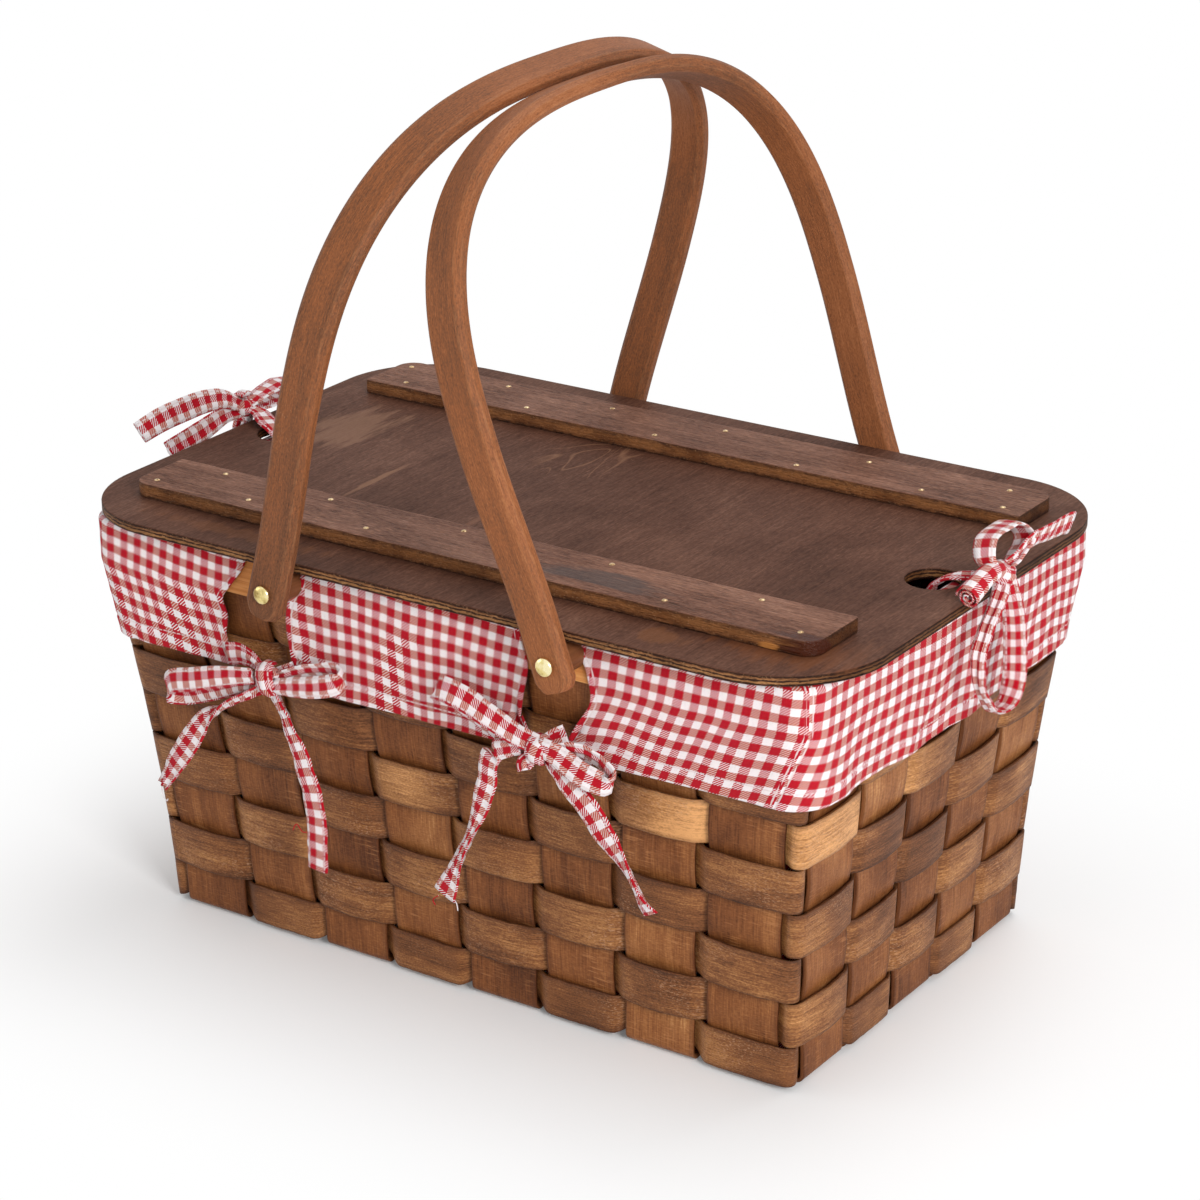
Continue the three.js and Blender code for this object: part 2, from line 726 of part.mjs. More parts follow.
// Each side bow hangs at its notch: where its knot is from its pivot, its loops' tips, and its
// tails' routes
const sideBows = {
  side_bow_left_front: {
    pivot: 0,
    knot: [-9.5, 155],
    face: -1,
    strap: [38, 22],
    loops: [[-56, -22], [43, 8]],
    tails: [
      [[-14, -1, -12], [-38, 2, -38], [-67, 4, -74]],
      [[7, -1, -10], [19, 2, -42], [25, 6, -93]],
    ],
  },
  side_bow_right_front: {
    pivot: 1,
    knot: [-23.5, 152],
    face: -1,
    strap: [20, 44],
    loops: [[-42, 15], [52, -9]],
    tails: [
      [[-11, -1, -12], [-31, 2, -58], [-45, 6, -90]],
      [[18, -1, -8], [44, 2, -30], [69, 4, -61]],
    ],
  },
  side_bow_left_back: {
    pivot: 0,
    knot: [3.5, 153],
    face: 1,
    strap: [30, 28],
    loops: [[-44, -10], [44, -8]],
    tails: [
      [[-10, -1, -12], [-24, 2, -44], [-30, 5, -84]],
      [[12, -1, -11], [30, 2, -38], [44, 5, -72]],
    ],
  },
  side_bow_right_back: {
    pivot: 1,
    knot: [-3.5, 153],
    face: 1,
    strap: [30, 30],
    loops: [[-44, -6], [46, -12]],
    tails: [
      [[-12, -1, -12], [-32, 2, -40], [-44, 5, -74]],
      [[10, -1, -12], [22, 2, -46], [26, 5, -88]],
    ],
  },
};
const skirtReach = wallAt(rimLow).y + skirtInside + cloth + skirtWave.depth;
const bowStand = skirtReach + clearance + tie.thickness / 2 + tieDepth;
for (const [name, shape] of Object.entries(sideBows)) {
  const [shift, z] = shape.knot;
  const bow = addPiece(name, sideBow(shape), 'cloth');
  bow.position.set(pivotPlaces[shape.pivot] + shift, shape.face * bowStand, z);
  bow.rotation.z = shape.face > 0 ? Math.PI : 0;
}

// End ties: knotted at the lid's edge, with a strand that drops into the finger hole, a loop that
// hangs outside the skirt, and loose loops and tails. Local X points outwards, local Z is up.
const acrossTie = {
  lying: new THREE.Vector3(0, 1, 0),
  outward: new THREE.Vector3(1, 0, 0.2),
  upright: new THREE.Vector3(0.3, 0, 1),
};

function endBow(shape) {
  const [x, y, z] = shape.knot;
  const pieces = [knot([tie.knot - 1, tie.knot + 1, tie.knot - 1]).translate(x, y, z)];
  for (const [edge, ...points] of shape.tapes) {
    pieces.push(tape(points, { edge: acrossTie[edge] }, 2 * points.length));
  }
  return joined(pieces);
}

const endBows = {
  end_bow_right: {
    side: 1,
    knot: [2, 9, 6.5],
    tapes: [
      ['lying', [2, 9, 6], [-5, 6, 3.4], [-12, 2.5, 2.4], [-18, 0, 1.2], [-24, 0, -2], [-28.5, 0, -7],
        [-29.5, 0, -15]],
      ['lying', [4, 10, 6], [7.8, 11, -2], [8.4, 12, -26], [7, 14, -50], [4.6, 14.5, -54],
        [2.2, 14, -48], [2, 12, -24], [2, 10, -2], [1, 10, 4]],
      ['outward', [2, 6, 7], [0, -2, 15], [-2, 3, 22], [-3, 17, 23.5], [-3, 31, 21], [-1, 38, 13],
        [1, 26, 7], [2, 13, 6]],
      ['upright', [2, 12, 7], [3, 28, 12], [3, 50, 11], [2, 76, 8]],
      ['outward', [3, 6, 8], [3, -9, 9.5], [2, -26, 3.4]],
    ],
  },
  end_bow_left: {
    side: -1,
    knot: [3, -5, 6.5],
    tapes: [
      ['lying', [2, -6, 6.5], [-5, -7, 5], [-12, -4, 2.6], [-18, -1, 1.2], [-24, 0, -2], [-28.5, 0, -7],
        [-29.5, 0, -15]],
      ['lying', [4, -6, 6], [7.8, -7, -2], [8.4, -8, -20], [7, -9, -36], [4.6, -9, -40],
        [2.2, -9, -34], [2, -8, -18], [2, -7, -2], [1, -6, 4]],
      ['upright', [3, -2, 9], [2.5, 10, 15.4], [4, 40, 18], [6, 70, 15.4]],
      ['upright', [3, -2, 6], [4.5, 8, 6], [5.5, 27, 2], [6, 50, -1]],
      ['outward', [2, -6, 8], [2, -26, 12], [1, -42, 11], [1, -47, 7], [2, -40, 3.6], [3, -24, 3.2],
        [3, -8, 5]],
    ],
  },
};
for (const [name, shape] of Object.entries(endBows)) {
  const bow = addPiece(name, endBow(shape), 'cloth');
  bow.position.set(shape.side * lid.halfLength, 0, lidTop);
  bow.rotation.z = shape.side > 0 ? 0 : Math.PI;
}

export default basket;
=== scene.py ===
import math

import bmesh
import bpy
import numpy as np
from mathutils import Matrix, Vector


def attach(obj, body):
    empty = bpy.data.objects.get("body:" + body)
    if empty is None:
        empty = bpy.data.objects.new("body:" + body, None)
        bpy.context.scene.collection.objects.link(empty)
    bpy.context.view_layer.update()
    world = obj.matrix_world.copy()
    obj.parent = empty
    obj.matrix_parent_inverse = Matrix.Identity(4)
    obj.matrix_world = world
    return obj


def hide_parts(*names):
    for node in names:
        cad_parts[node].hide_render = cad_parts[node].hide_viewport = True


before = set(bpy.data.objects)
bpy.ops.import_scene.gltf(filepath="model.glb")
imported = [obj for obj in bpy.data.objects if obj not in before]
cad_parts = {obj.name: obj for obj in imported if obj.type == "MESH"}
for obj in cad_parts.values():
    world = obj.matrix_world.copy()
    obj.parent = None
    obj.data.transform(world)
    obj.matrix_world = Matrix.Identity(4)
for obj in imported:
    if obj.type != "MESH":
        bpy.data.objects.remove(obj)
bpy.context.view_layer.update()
rng = np.random.default_rng(11)
milli = 0.001

camera = {
    "azimuth": 34.28, "elevation": 21.74, "roll": -0.6, "distance": 1735.67,
    "target": (-22.87, 41.2, 143.19), "lens": 106.45, "sensor": 36.0,
}


def placeCamera():
    a, e = math.radians(camera["azimuth"]), math.radians(camera["elevation"])
    back = Vector((math.sin(a) * math.cos(e), -math.cos(a) * math.cos(e), math.sin(e)))
    data = bpy.data.cameras.new("camera")
    data.lens, data.sensor_width = camera["lens"], camera["sensor"]
    data.clip_start, data.clip_end = 0.1, 20
    cam = bpy.data.objects.new("camera", data)
    turn = back.to_track_quat("Z", "Y").to_matrix().to_4x4()
    roll = Matrix.Rotation(math.radians(camera["roll"]), 4, "Z")
    place = (Vector(camera["target"]) + back * camera["distance"]) * milli
    cam.matrix_world = Matrix.Translation(place) @ turn @ roll
    bpy.context.scene.collection.objects.link(cam)
    bpy.context.scene.camera = cam


placeCamera()
print("camera placed")


def gridPiece(name, sheets, body, material):
    # Makes one object from surfaces. Each is a dict: points (rows, columns, 3) in mm, uv (rows, columns,
    # 2) in mm, closeRows and closeCols for a surface that meets itself, capEnds to fill its two end rows,
    # flip to say which way an open one faces, and values, numbers that the material reads, each given for
    # every point, for a row or a column of them, or once. A closed surface is turned so that the volume
    # inside it, a sum of tetrahedra, is positive.
    allPoints, loops, sizes, uvs = [], [], [], []
    values = {}
    start = 0
    for s in sheets:
        p = np.asarray(s["points"], float)
        rows, cols = p.shape[:2]
        closeRows, closeCols = s.get("closeRows", False), s.get("closeCols", False)
        uv = np.asarray(s["uv"], float)
        i, j = np.meshgrid(np.arange(rows if closeRows else rows - 1),
                           np.arange(cols if closeCols else cols - 1), indexing="ij")
        i, j = i.ravel(), j.ravel()
        ni, nj = (i + 1) % rows, (j + 1) % cols
        quads = np.stack([i * cols + j, ni * cols + j, ni * cols + nj, i * cols + nj], 1)
        corners = np.stack([uv[i, j], uv[i + 1, j], uv[i + 1, j + 1], uv[i, j + 1]], 1)
        flat = p.reshape(-1, 3)
        caps = []
        if s.get("capEnds"):
            caps = [np.arange(cols), ((rows - 1) * cols + np.arange(cols))[::-1]]
        a, b, c, d = (flat[quads[:, k]] for k in range(4))
        volume = np.einsum("ij,ij->i", a, np.cross(b, c)) + np.einsum("ij,ij->i", a, np.cross(c, d))
        turned = s.get("flip", volume.sum() < 0 if (closeCols or closeRows) else False)
        if turned:
            quads, corners = quads[:, ::-1], corners[:, ::-1]
            caps = [cap[::-1] for cap in caps]
        allPoints.append(flat)
        loops.append((quads + start).ravel())
        sizes.append(np.full(len(quads), 4))
        uvs.append(corners.reshape(-1, 2))
        for cap in caps:
            loops.append(cap + start)
            sizes.append(np.array([cols]))
            # a cap's map is its own outline laid flat: along its wider direction and through it
            ring = flat[cap] - flat[cap].mean(0)
            wide = unit(ring[np.argmax(np.linalg.norm(ring, axis=1))])
            deep = unit(np.cross(np.cross(ring[0] + 1e-6, ring[len(cap) // 3]), wide))
            uvs.append(np.stack([ring @ wide, ring @ deep], 1))
        for key, v in s.get("values", {}).items():
            full = np.broadcast_to(np.asarray(v, float), (rows, cols)).ravel()
            values.setdefault(key, []).append((start, full))
        start += rows * cols
    points = np.concatenate(allPoints) * milli
    loop, size, uv = np.concatenate(loops), np.concatenate(sizes), np.concatenate(uvs) * milli
    mesh = bpy.data.meshes.new(name)
    mesh.vertices.add(len(points))
    mesh.vertices.foreach_set("co", points.astype(np.float32).ravel())
    mesh.loops.add(len(loop))
    mesh.loops.foreach_set("vertex_index", loop.astype(np.int32))
    mesh.polygons.add(len(size))
    mesh.polygons.foreach_set("loop_start", np.concatenate([[0], np.cumsum(size)[:-1]]).astype(np.int32))
    mesh.polygons.foreach_set("loop_total", size.astype(np.int32))
    mesh.polygons.foreach_set("use_smooth", np.ones(len(size), bool))
    mesh.uv_layers.new(name="UVMap").data.foreach_set("uv", uv.astype(np.float32).ravel())
    for key, parts in values.items():
        full = np.zeros(len(points), np.float32)
        for at, v in parts:
            full[at:at + len(v)] = v
        mesh.attributes.new(key, "FLOAT", "POINT").data.foreach_set("value", full)
    mesh.update(calc_edges=True)
    mesh.validate()
    obj = bpy.data.objects.new(name, mesh)
    bpy.context.scene.collection.objects.link(obj)
    obj.data.materials.append(material)
    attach(obj, body)
    return obj


def smoothCurve(points, count):
    # A centripetal Catmull-Rom curve through the points, sampled evenly by length: (count, 3).
    p = np.asarray(points, float)
    p = np.vstack([2 * p[0] - p[1], p, 2 * p[-1] - p[-2]])
    knots = np.concatenate([[0], np.cumsum(np.linalg.norm(np.diff(p, axis=0), axis=1) ** 0.5)])
    t = np.linspace(knots[1], knots[-2], 40 * len(points))
    k = np.clip(np.searchsorted(knots, t, "right") - 1, 1, len(p) - 3)
    t0, t1, t2, t3 = (knots[k + d][:, None] for d in (-1, 0, 1, 2))
    p0, p1, p2, p3 = (p[k + d] for d in (-1, 0, 1, 2))
    t = t[:, None]
    a1 = (t1 - t) / (t1 - t0) * p0 + (t - t0) / (t1 - t0) * p1
    a2 = (t2 - t) / (t2 - t1) * p1 + (t - t1) / (t2 - t1) * p2
    a3 = (t3 - t) / (t3 - t2) * p2 + (t - t2) / (t3 - t2) * p3
    b1 = (t2 - t) / (t2 - t0) * a1 + (t - t0) / (t2 - t0) * a2
    b2 = (t3 - t) / (t3 - t1) * a2 + (t - t1) / (t3 - t1) * a3
    fine = (t2 - t) / (t2 - t1) * b1 + (t - t1) / (t2 - t1) * b2
    run = np.concatenate([[0], np.cumsum(np.linalg.norm(np.diff(fine, axis=0), axis=1))])
    even = np.linspace(0, run[-1], count)
    return np.stack([np.interp(even, run, fine[:, d]) for d in range(3)], 1)


def unit(v):
    return v / np.maximum(np.linalg.norm(v, axis=-1, keepdims=True), 1e-9)


def tangents(path):
    return unit(np.gradient(path, axis=0))


def runOf(path):
    # The length along a path up to each of its points
    return np.concatenate([[0], np.cumsum(np.linalg.norm(np.diff(path, axis=0), axis=1))])


def easedBar(width, thick, ease, steps):
    # Outline of a flat bar with rounded edges, anticlockwise: x across, y through. Each edge is a quarter
    # circle in so many steps, and each face has five points between them.
    outline = []
    for cx, cy, first in ((1, -1, -90), (1, 1, 0), (-1, 1, 90), (-1, -1, 180)):
        for k in range(steps + 1):
            a = math.radians(first + 90 * k / steps)
            outline.append((cx * (width / 2 - ease) + ease * math.cos(a),
                            cy * (thick / 2 - ease) + ease * math.sin(a)))
        if (cx, cy) in ((1, 1), (-1, -1)):
            inner = width / 2 - ease
            for share in (0.85, 0.4, 0, -0.4, -0.85):
                outline.append((cx * share * inner, cy * thick / 2))
    return np.array(outline)


def stripOutline(thick, ease):
    # Outline of a thin strip as rows of (sign, share of the half width, mm in from there, depth, edge):
    # a point across is sign * (share * half - inset). Edge is 1 along the strip's sides and fades inwards.
    face = [(1, ease, 1.0), (1, 1.1, 0.6), (1, 3.2, 0.0), (0.5, 0, 0.0)]
    top, e = thick / 2, ease
    upper = ([(-1, k, i, top, d) for k, i, d in face] + [(1, 0, 0, top, 0)]
             + [(1, k, i, top, d) for k, i, d in face[::-1]])
    upper += [(1, 1, 0.29 * e, top - 0.29 * e, 1), (1, 1, 0, top - e, 1)]
    return np.array(upper + [(-a, k, i, -y, d) for a, k, i, y, d in upper], float)


def outlineRun(outline):
    # The length round a closed outline up to each of its points and on to the first again
    return runOf(np.vstack([outline, outline[:1]]))


def noiseAlong(x, wave, seed, octaves=3):
    # Smooth noise along a line: a sum of sines of random phase, from about -1 to 1.
    r = np.random.default_rng(seed)
    total = np.zeros_like(np.asarray(x, float))
    for k in range(octaves * 2):
        total += np.sin(x / wave * (1 + 0.7 * k) * 2 + r.uniform(0, 6.28)) / (1 + 0.5 * k)
    return total / 2.2


def startMaterial(name):
    material = bpy.data.materials.new(name)
    material.use_nodes = True
    tree = material.node_tree
    tree.nodes.clear()
    output = tree.nodes.new("ShaderNodeOutputMaterial")
    bsdf = tree.nodes.new("ShaderNodeBsdfPrincipled")
    tree.links.new(bsdf.outputs[0], output.inputs[0])
    return material, tree, bsdf


def wire(tree, value, socket):
    if isinstance(value, bpy.types.NodeSocket):
        tree.links.new(value, socket)
    else:
        socket.default_value = value


def put(tree, kind, inputs=None, **settings):
    node = tree.nodes.new("ShaderNode" + kind)
    for key, value in settings.items():
        setattr(node, key, value)
    for key, value in (inputs or {}).items():
        wire(tree, value, node.inputs[key])
    return node


def calc(tree, operation, *values, clamp=False):
    node = put(tree, "Math", operation=operation, use_clamp=clamp)
    for k, value in enumerate(values):
        wire(tree, value, node.inputs[k])
    return node.outputs[0]


def mixed(tree, share, first, second, blend="MIX"):
    node = put(tree, "Mix", data_type="RGBA", blend_type=blend)
    wire(tree, share, node.inputs[0])
    for value, socket in ((first, node.inputs[6]), (second, node.inputs[7])):
        wire(tree, value if isinstance(value, bpy.types.NodeSocket) else (*value, 1), socket)
    return node.outputs[2]


def ramp(tree, share, stops):
    node = put(tree, "ValToRGB", {"Fac": share})
    while len(node.color_ramp.elements) < len(stops):
        node.color_ramp.elements.new(0.5)
    for element, (place, colour) in zip(node.color_ramp.elements, stops):
        element.position = place
        element.color = (*colour, 1)
    return node.outputs[0]


def noise(tree, vector, detail=2, rough=0.6, distort=0.0):
    node = put(tree, "TexNoise", {"Vector": vector, "Scale": 1.0, "Detail": detail, "Roughness": rough,
                                  "Distortion": distort})
    return node.outputs[0]


def scaled(tree, vector, scale, shift=None):
    node = put(tree, "VectorMath", {0: vector, 1: scale}, operation="MULTIPLY")
    if shift is None:
        return node.outputs[0]
    return put(tree, "VectorMath", {0: node.outputs[0], 1: shift}, operation="ADD").outputs[0]


def bandDistance(tree, value, perUnit):
    # how far a value is from the middle of its band, 0 to 0.5, with so many bands to a unit
    phase = calc(tree, "FRACT", calc(tree, "MULTIPLY", value, perUnit))
    return calc(tree, "ABSOLUTE", calc(tree, "SUBTRACT", phase, 0.5))


def past(tree, value, limit, steep):
    # 0 up to the limit, then a straight rise to 1
    return calc(tree, "MULTIPLY", calc(tree, "SUBTRACT", value, limit), steep, clamp=True)


def attribute(tree, name):
    return put(tree, "Attribute", attribute_name=name).outputs["Fac"]


def objectSpot(tree, centre, radii):
    # how far inside an ellipsoid of Object coordinates a point is: 1 at its middle, 0 at its skin
    here = put(tree, "TexCoord").outputs["Object"]
    away = put(tree, "VectorMath", {0: here, 1: tuple(v * milli for v in centre)}, operation="SUBTRACT")
    away = scaled(tree, away.outputs[0], tuple(1 / (v * milli) for v in radii))
    far = put(tree, "VectorMath", {0: away}, operation="LENGTH").outputs["Value"]
    return calc(tree, "SUBTRACT", 1.0, far)


darkPore = (0.26, 0.19, 0.16)  # what a pore does to the colour round it
edgeStainAndShade = (0.22, 0.13, 0.1)  # what stain, and painted shade where strips meet, do along a strip's long edges
# A board's cut sides: noise frequencies per metre along X, Y and Z, and the limits past which they show
cutSide = {
    "upright": (0.3, 4.0), "ragged": (240.0, 240.0, 700.0), "patch": (38.0, 38.0, 60.0),
    "patchLimit": (0.46, 3.5), "pits": (420.0, 420.0, 2100.0), "pitLimit": (0.54, 8.0),
    "pitColour": (0.02, 0.007, 0.003), "grit": (900.0, 900.0, 1500.0), "gritLimit": (0.6, 8.0),
    "gritShare": 0.22, "gritColour": (0.6, 0.33, 0.16), "endLimit": (0.5, 3.0), "endTint": (0.3, 0.24, 0.2),
}


def woodFinish(name, look):
    # Wood: noises stretched along the grain are added up and looked up in a row of stain colours. The
    # grain runs along U of the piece's map, or along one axis of Object coordinates. Marks are dashes of
    # one colour, where a stretched noise passes its limit inside the patches of a wider noise.
    material, tree, bsdf = startMaterial(name)
    here = put(tree, "TexCoord").outputs["Object"]
    axes = put(tree, "SeparateXYZ", {0: here}).outputs
    if look.get("axis"):
        order = {"x": (0, 1, 2), "y": (1, 0, 2)}[look["axis"]]
        place = put(tree, "CombineXYZ", {k: axes[order[k]] for k in range(3)}).outputs[0]
        seed, tone = 0.0, 0.0
    else:
        place = put(tree, "UVMap", uv_map="UVMap").outputs[0]
        seed, tone = attribute(tree, "seed"), attribute(tree, "tone")
    shift = put(tree, "CombineXYZ", {0: seed, 1: seed, 2: seed}).outputs[0]

    def grain(along, across, detail=2, distort=0.0):
        return noise(tree, scaled(tree, place, (along, across, across), shift), detail, 0.6, distort)

    def facing(axis):
        return put(tree, "SeparateXYZ", {0: put(tree, "NewGeometry").outputs["Normal"]}).outputs[axis]

    share = calc(tree, "ADD", tone, 0.5)
    relief = 0.0
    for n, (along, across, detail, distort, gain) in enumerate(look["layers"]):
        layer = calc(tree, "SUBTRACT", grain(along, across, detail, distort), 0.5)
        share = calc(tree, "MULTIPLY_ADD", layer, gain, share)
        if n < 2:
            relief = calc(tree, "MULTIPLY_ADD", layer, 1.0, relief)
    colour = ramp(tree, calc(tree, "ADD", share, 0.0, clamp=True), look["colours"])
    for along, across, limit, patch, patchLimit, markColour, strength in look.get("marks", []):
        dash = past(tree, grain(along, across, 1), limit, 11.0)
        wide = past(tree, grain(patch, patch * 1.5, 2), patchLimit, 5.0)
        dash = calc(tree, "MULTIPLY", dash, wide)
        dark = markColour is darkPore
        if dark:
            dash = calc(tree, "MULTIPLY", dash, calc(tree, "MULTIPLY_ADD", share, -1.6, 1.7, clamp=True))
        colour = mixed(tree, calc(tree, "MULTIPLY", dash, strength), colour, markColour,
                       "MULTIPLY" if dark else "MIX")
        relief = calc(tree, "MULTIPLY_ADD", dash, -0.35 if dark else 0.35, relief)
    rough = calc(tree, "MULTIPLY_ADD", calc(tree, "SUBTRACT", share, 0.5), look.get("roughRange", -0.2),
                 look["rough"])
    if look.get("sides"):
        # the board's cut sides have their own colours from bottom to top, with pits and ragged lines
        c = cutSide
        level = calc(tree, "SUBTRACT", 1.0, calc(tree, "ABSOLUTE", facing(2)))
        upright = past(tree, level, *c["upright"])
        low, high = look["sideHeights"]
        level = calc(tree, "MULTIPLY", calc(tree, "SUBTRACT", axes[2], low * milli),
                     1 / ((high - low) * milli))
        ragged = calc(tree, "SUBTRACT", noise(tree, scaled(tree, here, c["ragged"]), 3), 0.5)
        level = calc(tree, "MULTIPLY_ADD", ragged, look["sideRagged"], level, clamp=True)
        sideColour = ramp(tree, level, look["sides"])
        patch = past(tree, noise(tree, scaled(tree, here, c["patch"]), 3), *c["patchLimit"])
        sideColour = mixed(tree, patch, sideColour, look["sidePatch"], "MULTIPLY")
        pits = past(tree, noise(tree, scaled(tree, here, c["pits"]), 2), *c["pitLimit"])
        pits = calc(tree, "MULTIPLY", pits, look["sidePits"])
        sideColour = mixed(tree, pits, sideColour, c["pitColour"])
        grit = past(tree, noise(tree, scaled(tree, here, c["grit"]), 1), *c["gritLimit"])
        sideColour = mixed(tree, calc(tree, "MULTIPLY", grit, c["gritShare"]), sideColour, c["gritColour"])
        endways = past(tree, calc(tree, "ABSOLUTE", facing(0)), *c["endLimit"])
        endways = calc(tree, "MULTIPLY", endways, look["endShade"])
        sideColour = mixed(tree, endways, sideColour, c["endTint"], "MULTIPLY")
        colour = mixed(tree, upright, colour, sideColour)
    for centre, radii, spotColour, strength, spotRough in look.get("spots", []):
        # a patch of colour in one place, its outline broken by a fine noise: most are stains, and two, marked
        # in the woods, are painted reflection and painted highlight
        broken = calc(tree, "SUBTRACT", grain(30.0, 190.0, 4), 0.5)
        spot = calc(tree, "MULTIPLY_ADD", broken, 2.2, objectSpot(tree, centre, radii))
        spot = calc(tree, "MULTIPLY", past(tree, spot, 0.1, 2.5), strength)
        colour = mixed(tree, spot, colour, spotColour)
        if spotRough:
            rough = calc(tree, "MULTIPLY_ADD", spot, spotRough - look["rough"], rough)
    if look.get("figure"):
        # a cathedral figure: pale lines at even levels of a slow noise, inside one oval
        centre, radii, scale, count, lineColour = look["figure"]
        level = noise(tree, scaled(tree, place, scale), 1, 0.5, 0.35)
        line = past(tree, bandDistance(tree, level, count), 0.4, 10.0)
        inside = past(tree, objectSpot(tree, centre, radii), 0.0, 3.0)
        inside = calc(tree, "MULTIPLY", inside, past(tree, facing(2), 0.6, 4.0))
        line = calc(tree, "MULTIPLY", calc(tree, "MULTIPLY", line, inside), 0.55)
        colour = mixed(tree, line, colour, lineColour)
    if look.get("worn"):
        # edges rubbed pale, from the piece's own edge attribute
        rubbed = past(tree, grain(120.0, 500.0, 3), 0.42, 4.0)
        rubbed = calc(tree, "MULTIPLY", attribute(tree, "edge"), rubbed)
        colour = mixed(tree, calc(tree, "MULTIPLY", rubbed, look["worn"]), colour, look["wornColour"])
    if look.get("shade"):
        # stain along a strip's long edges, and painted shade there where the strips meet
        stainAndShade = calc(tree, "MULTIPLY", attribute(tree, "edge"), look["shade"])
        colour = mixed(tree, stainAndShade, colour, edgeStainAndShade, "MULTIPLY")
    wire(tree, colour, bsdf.inputs["Base Color"])
    wire(tree, calc(tree, "MAXIMUM", rough, 0.12), bsdf.inputs["Roughness"])
    bsdf.inputs["Specular IOR Level"].default_value = look["specular"]
    bump = put(tree, "Bump", {"Strength": look["relief"], "Distance": look["depth"], "Height": relief})
    wire(tree, bump.outputs[0], bsdf.inputs["Normal"])
    return material


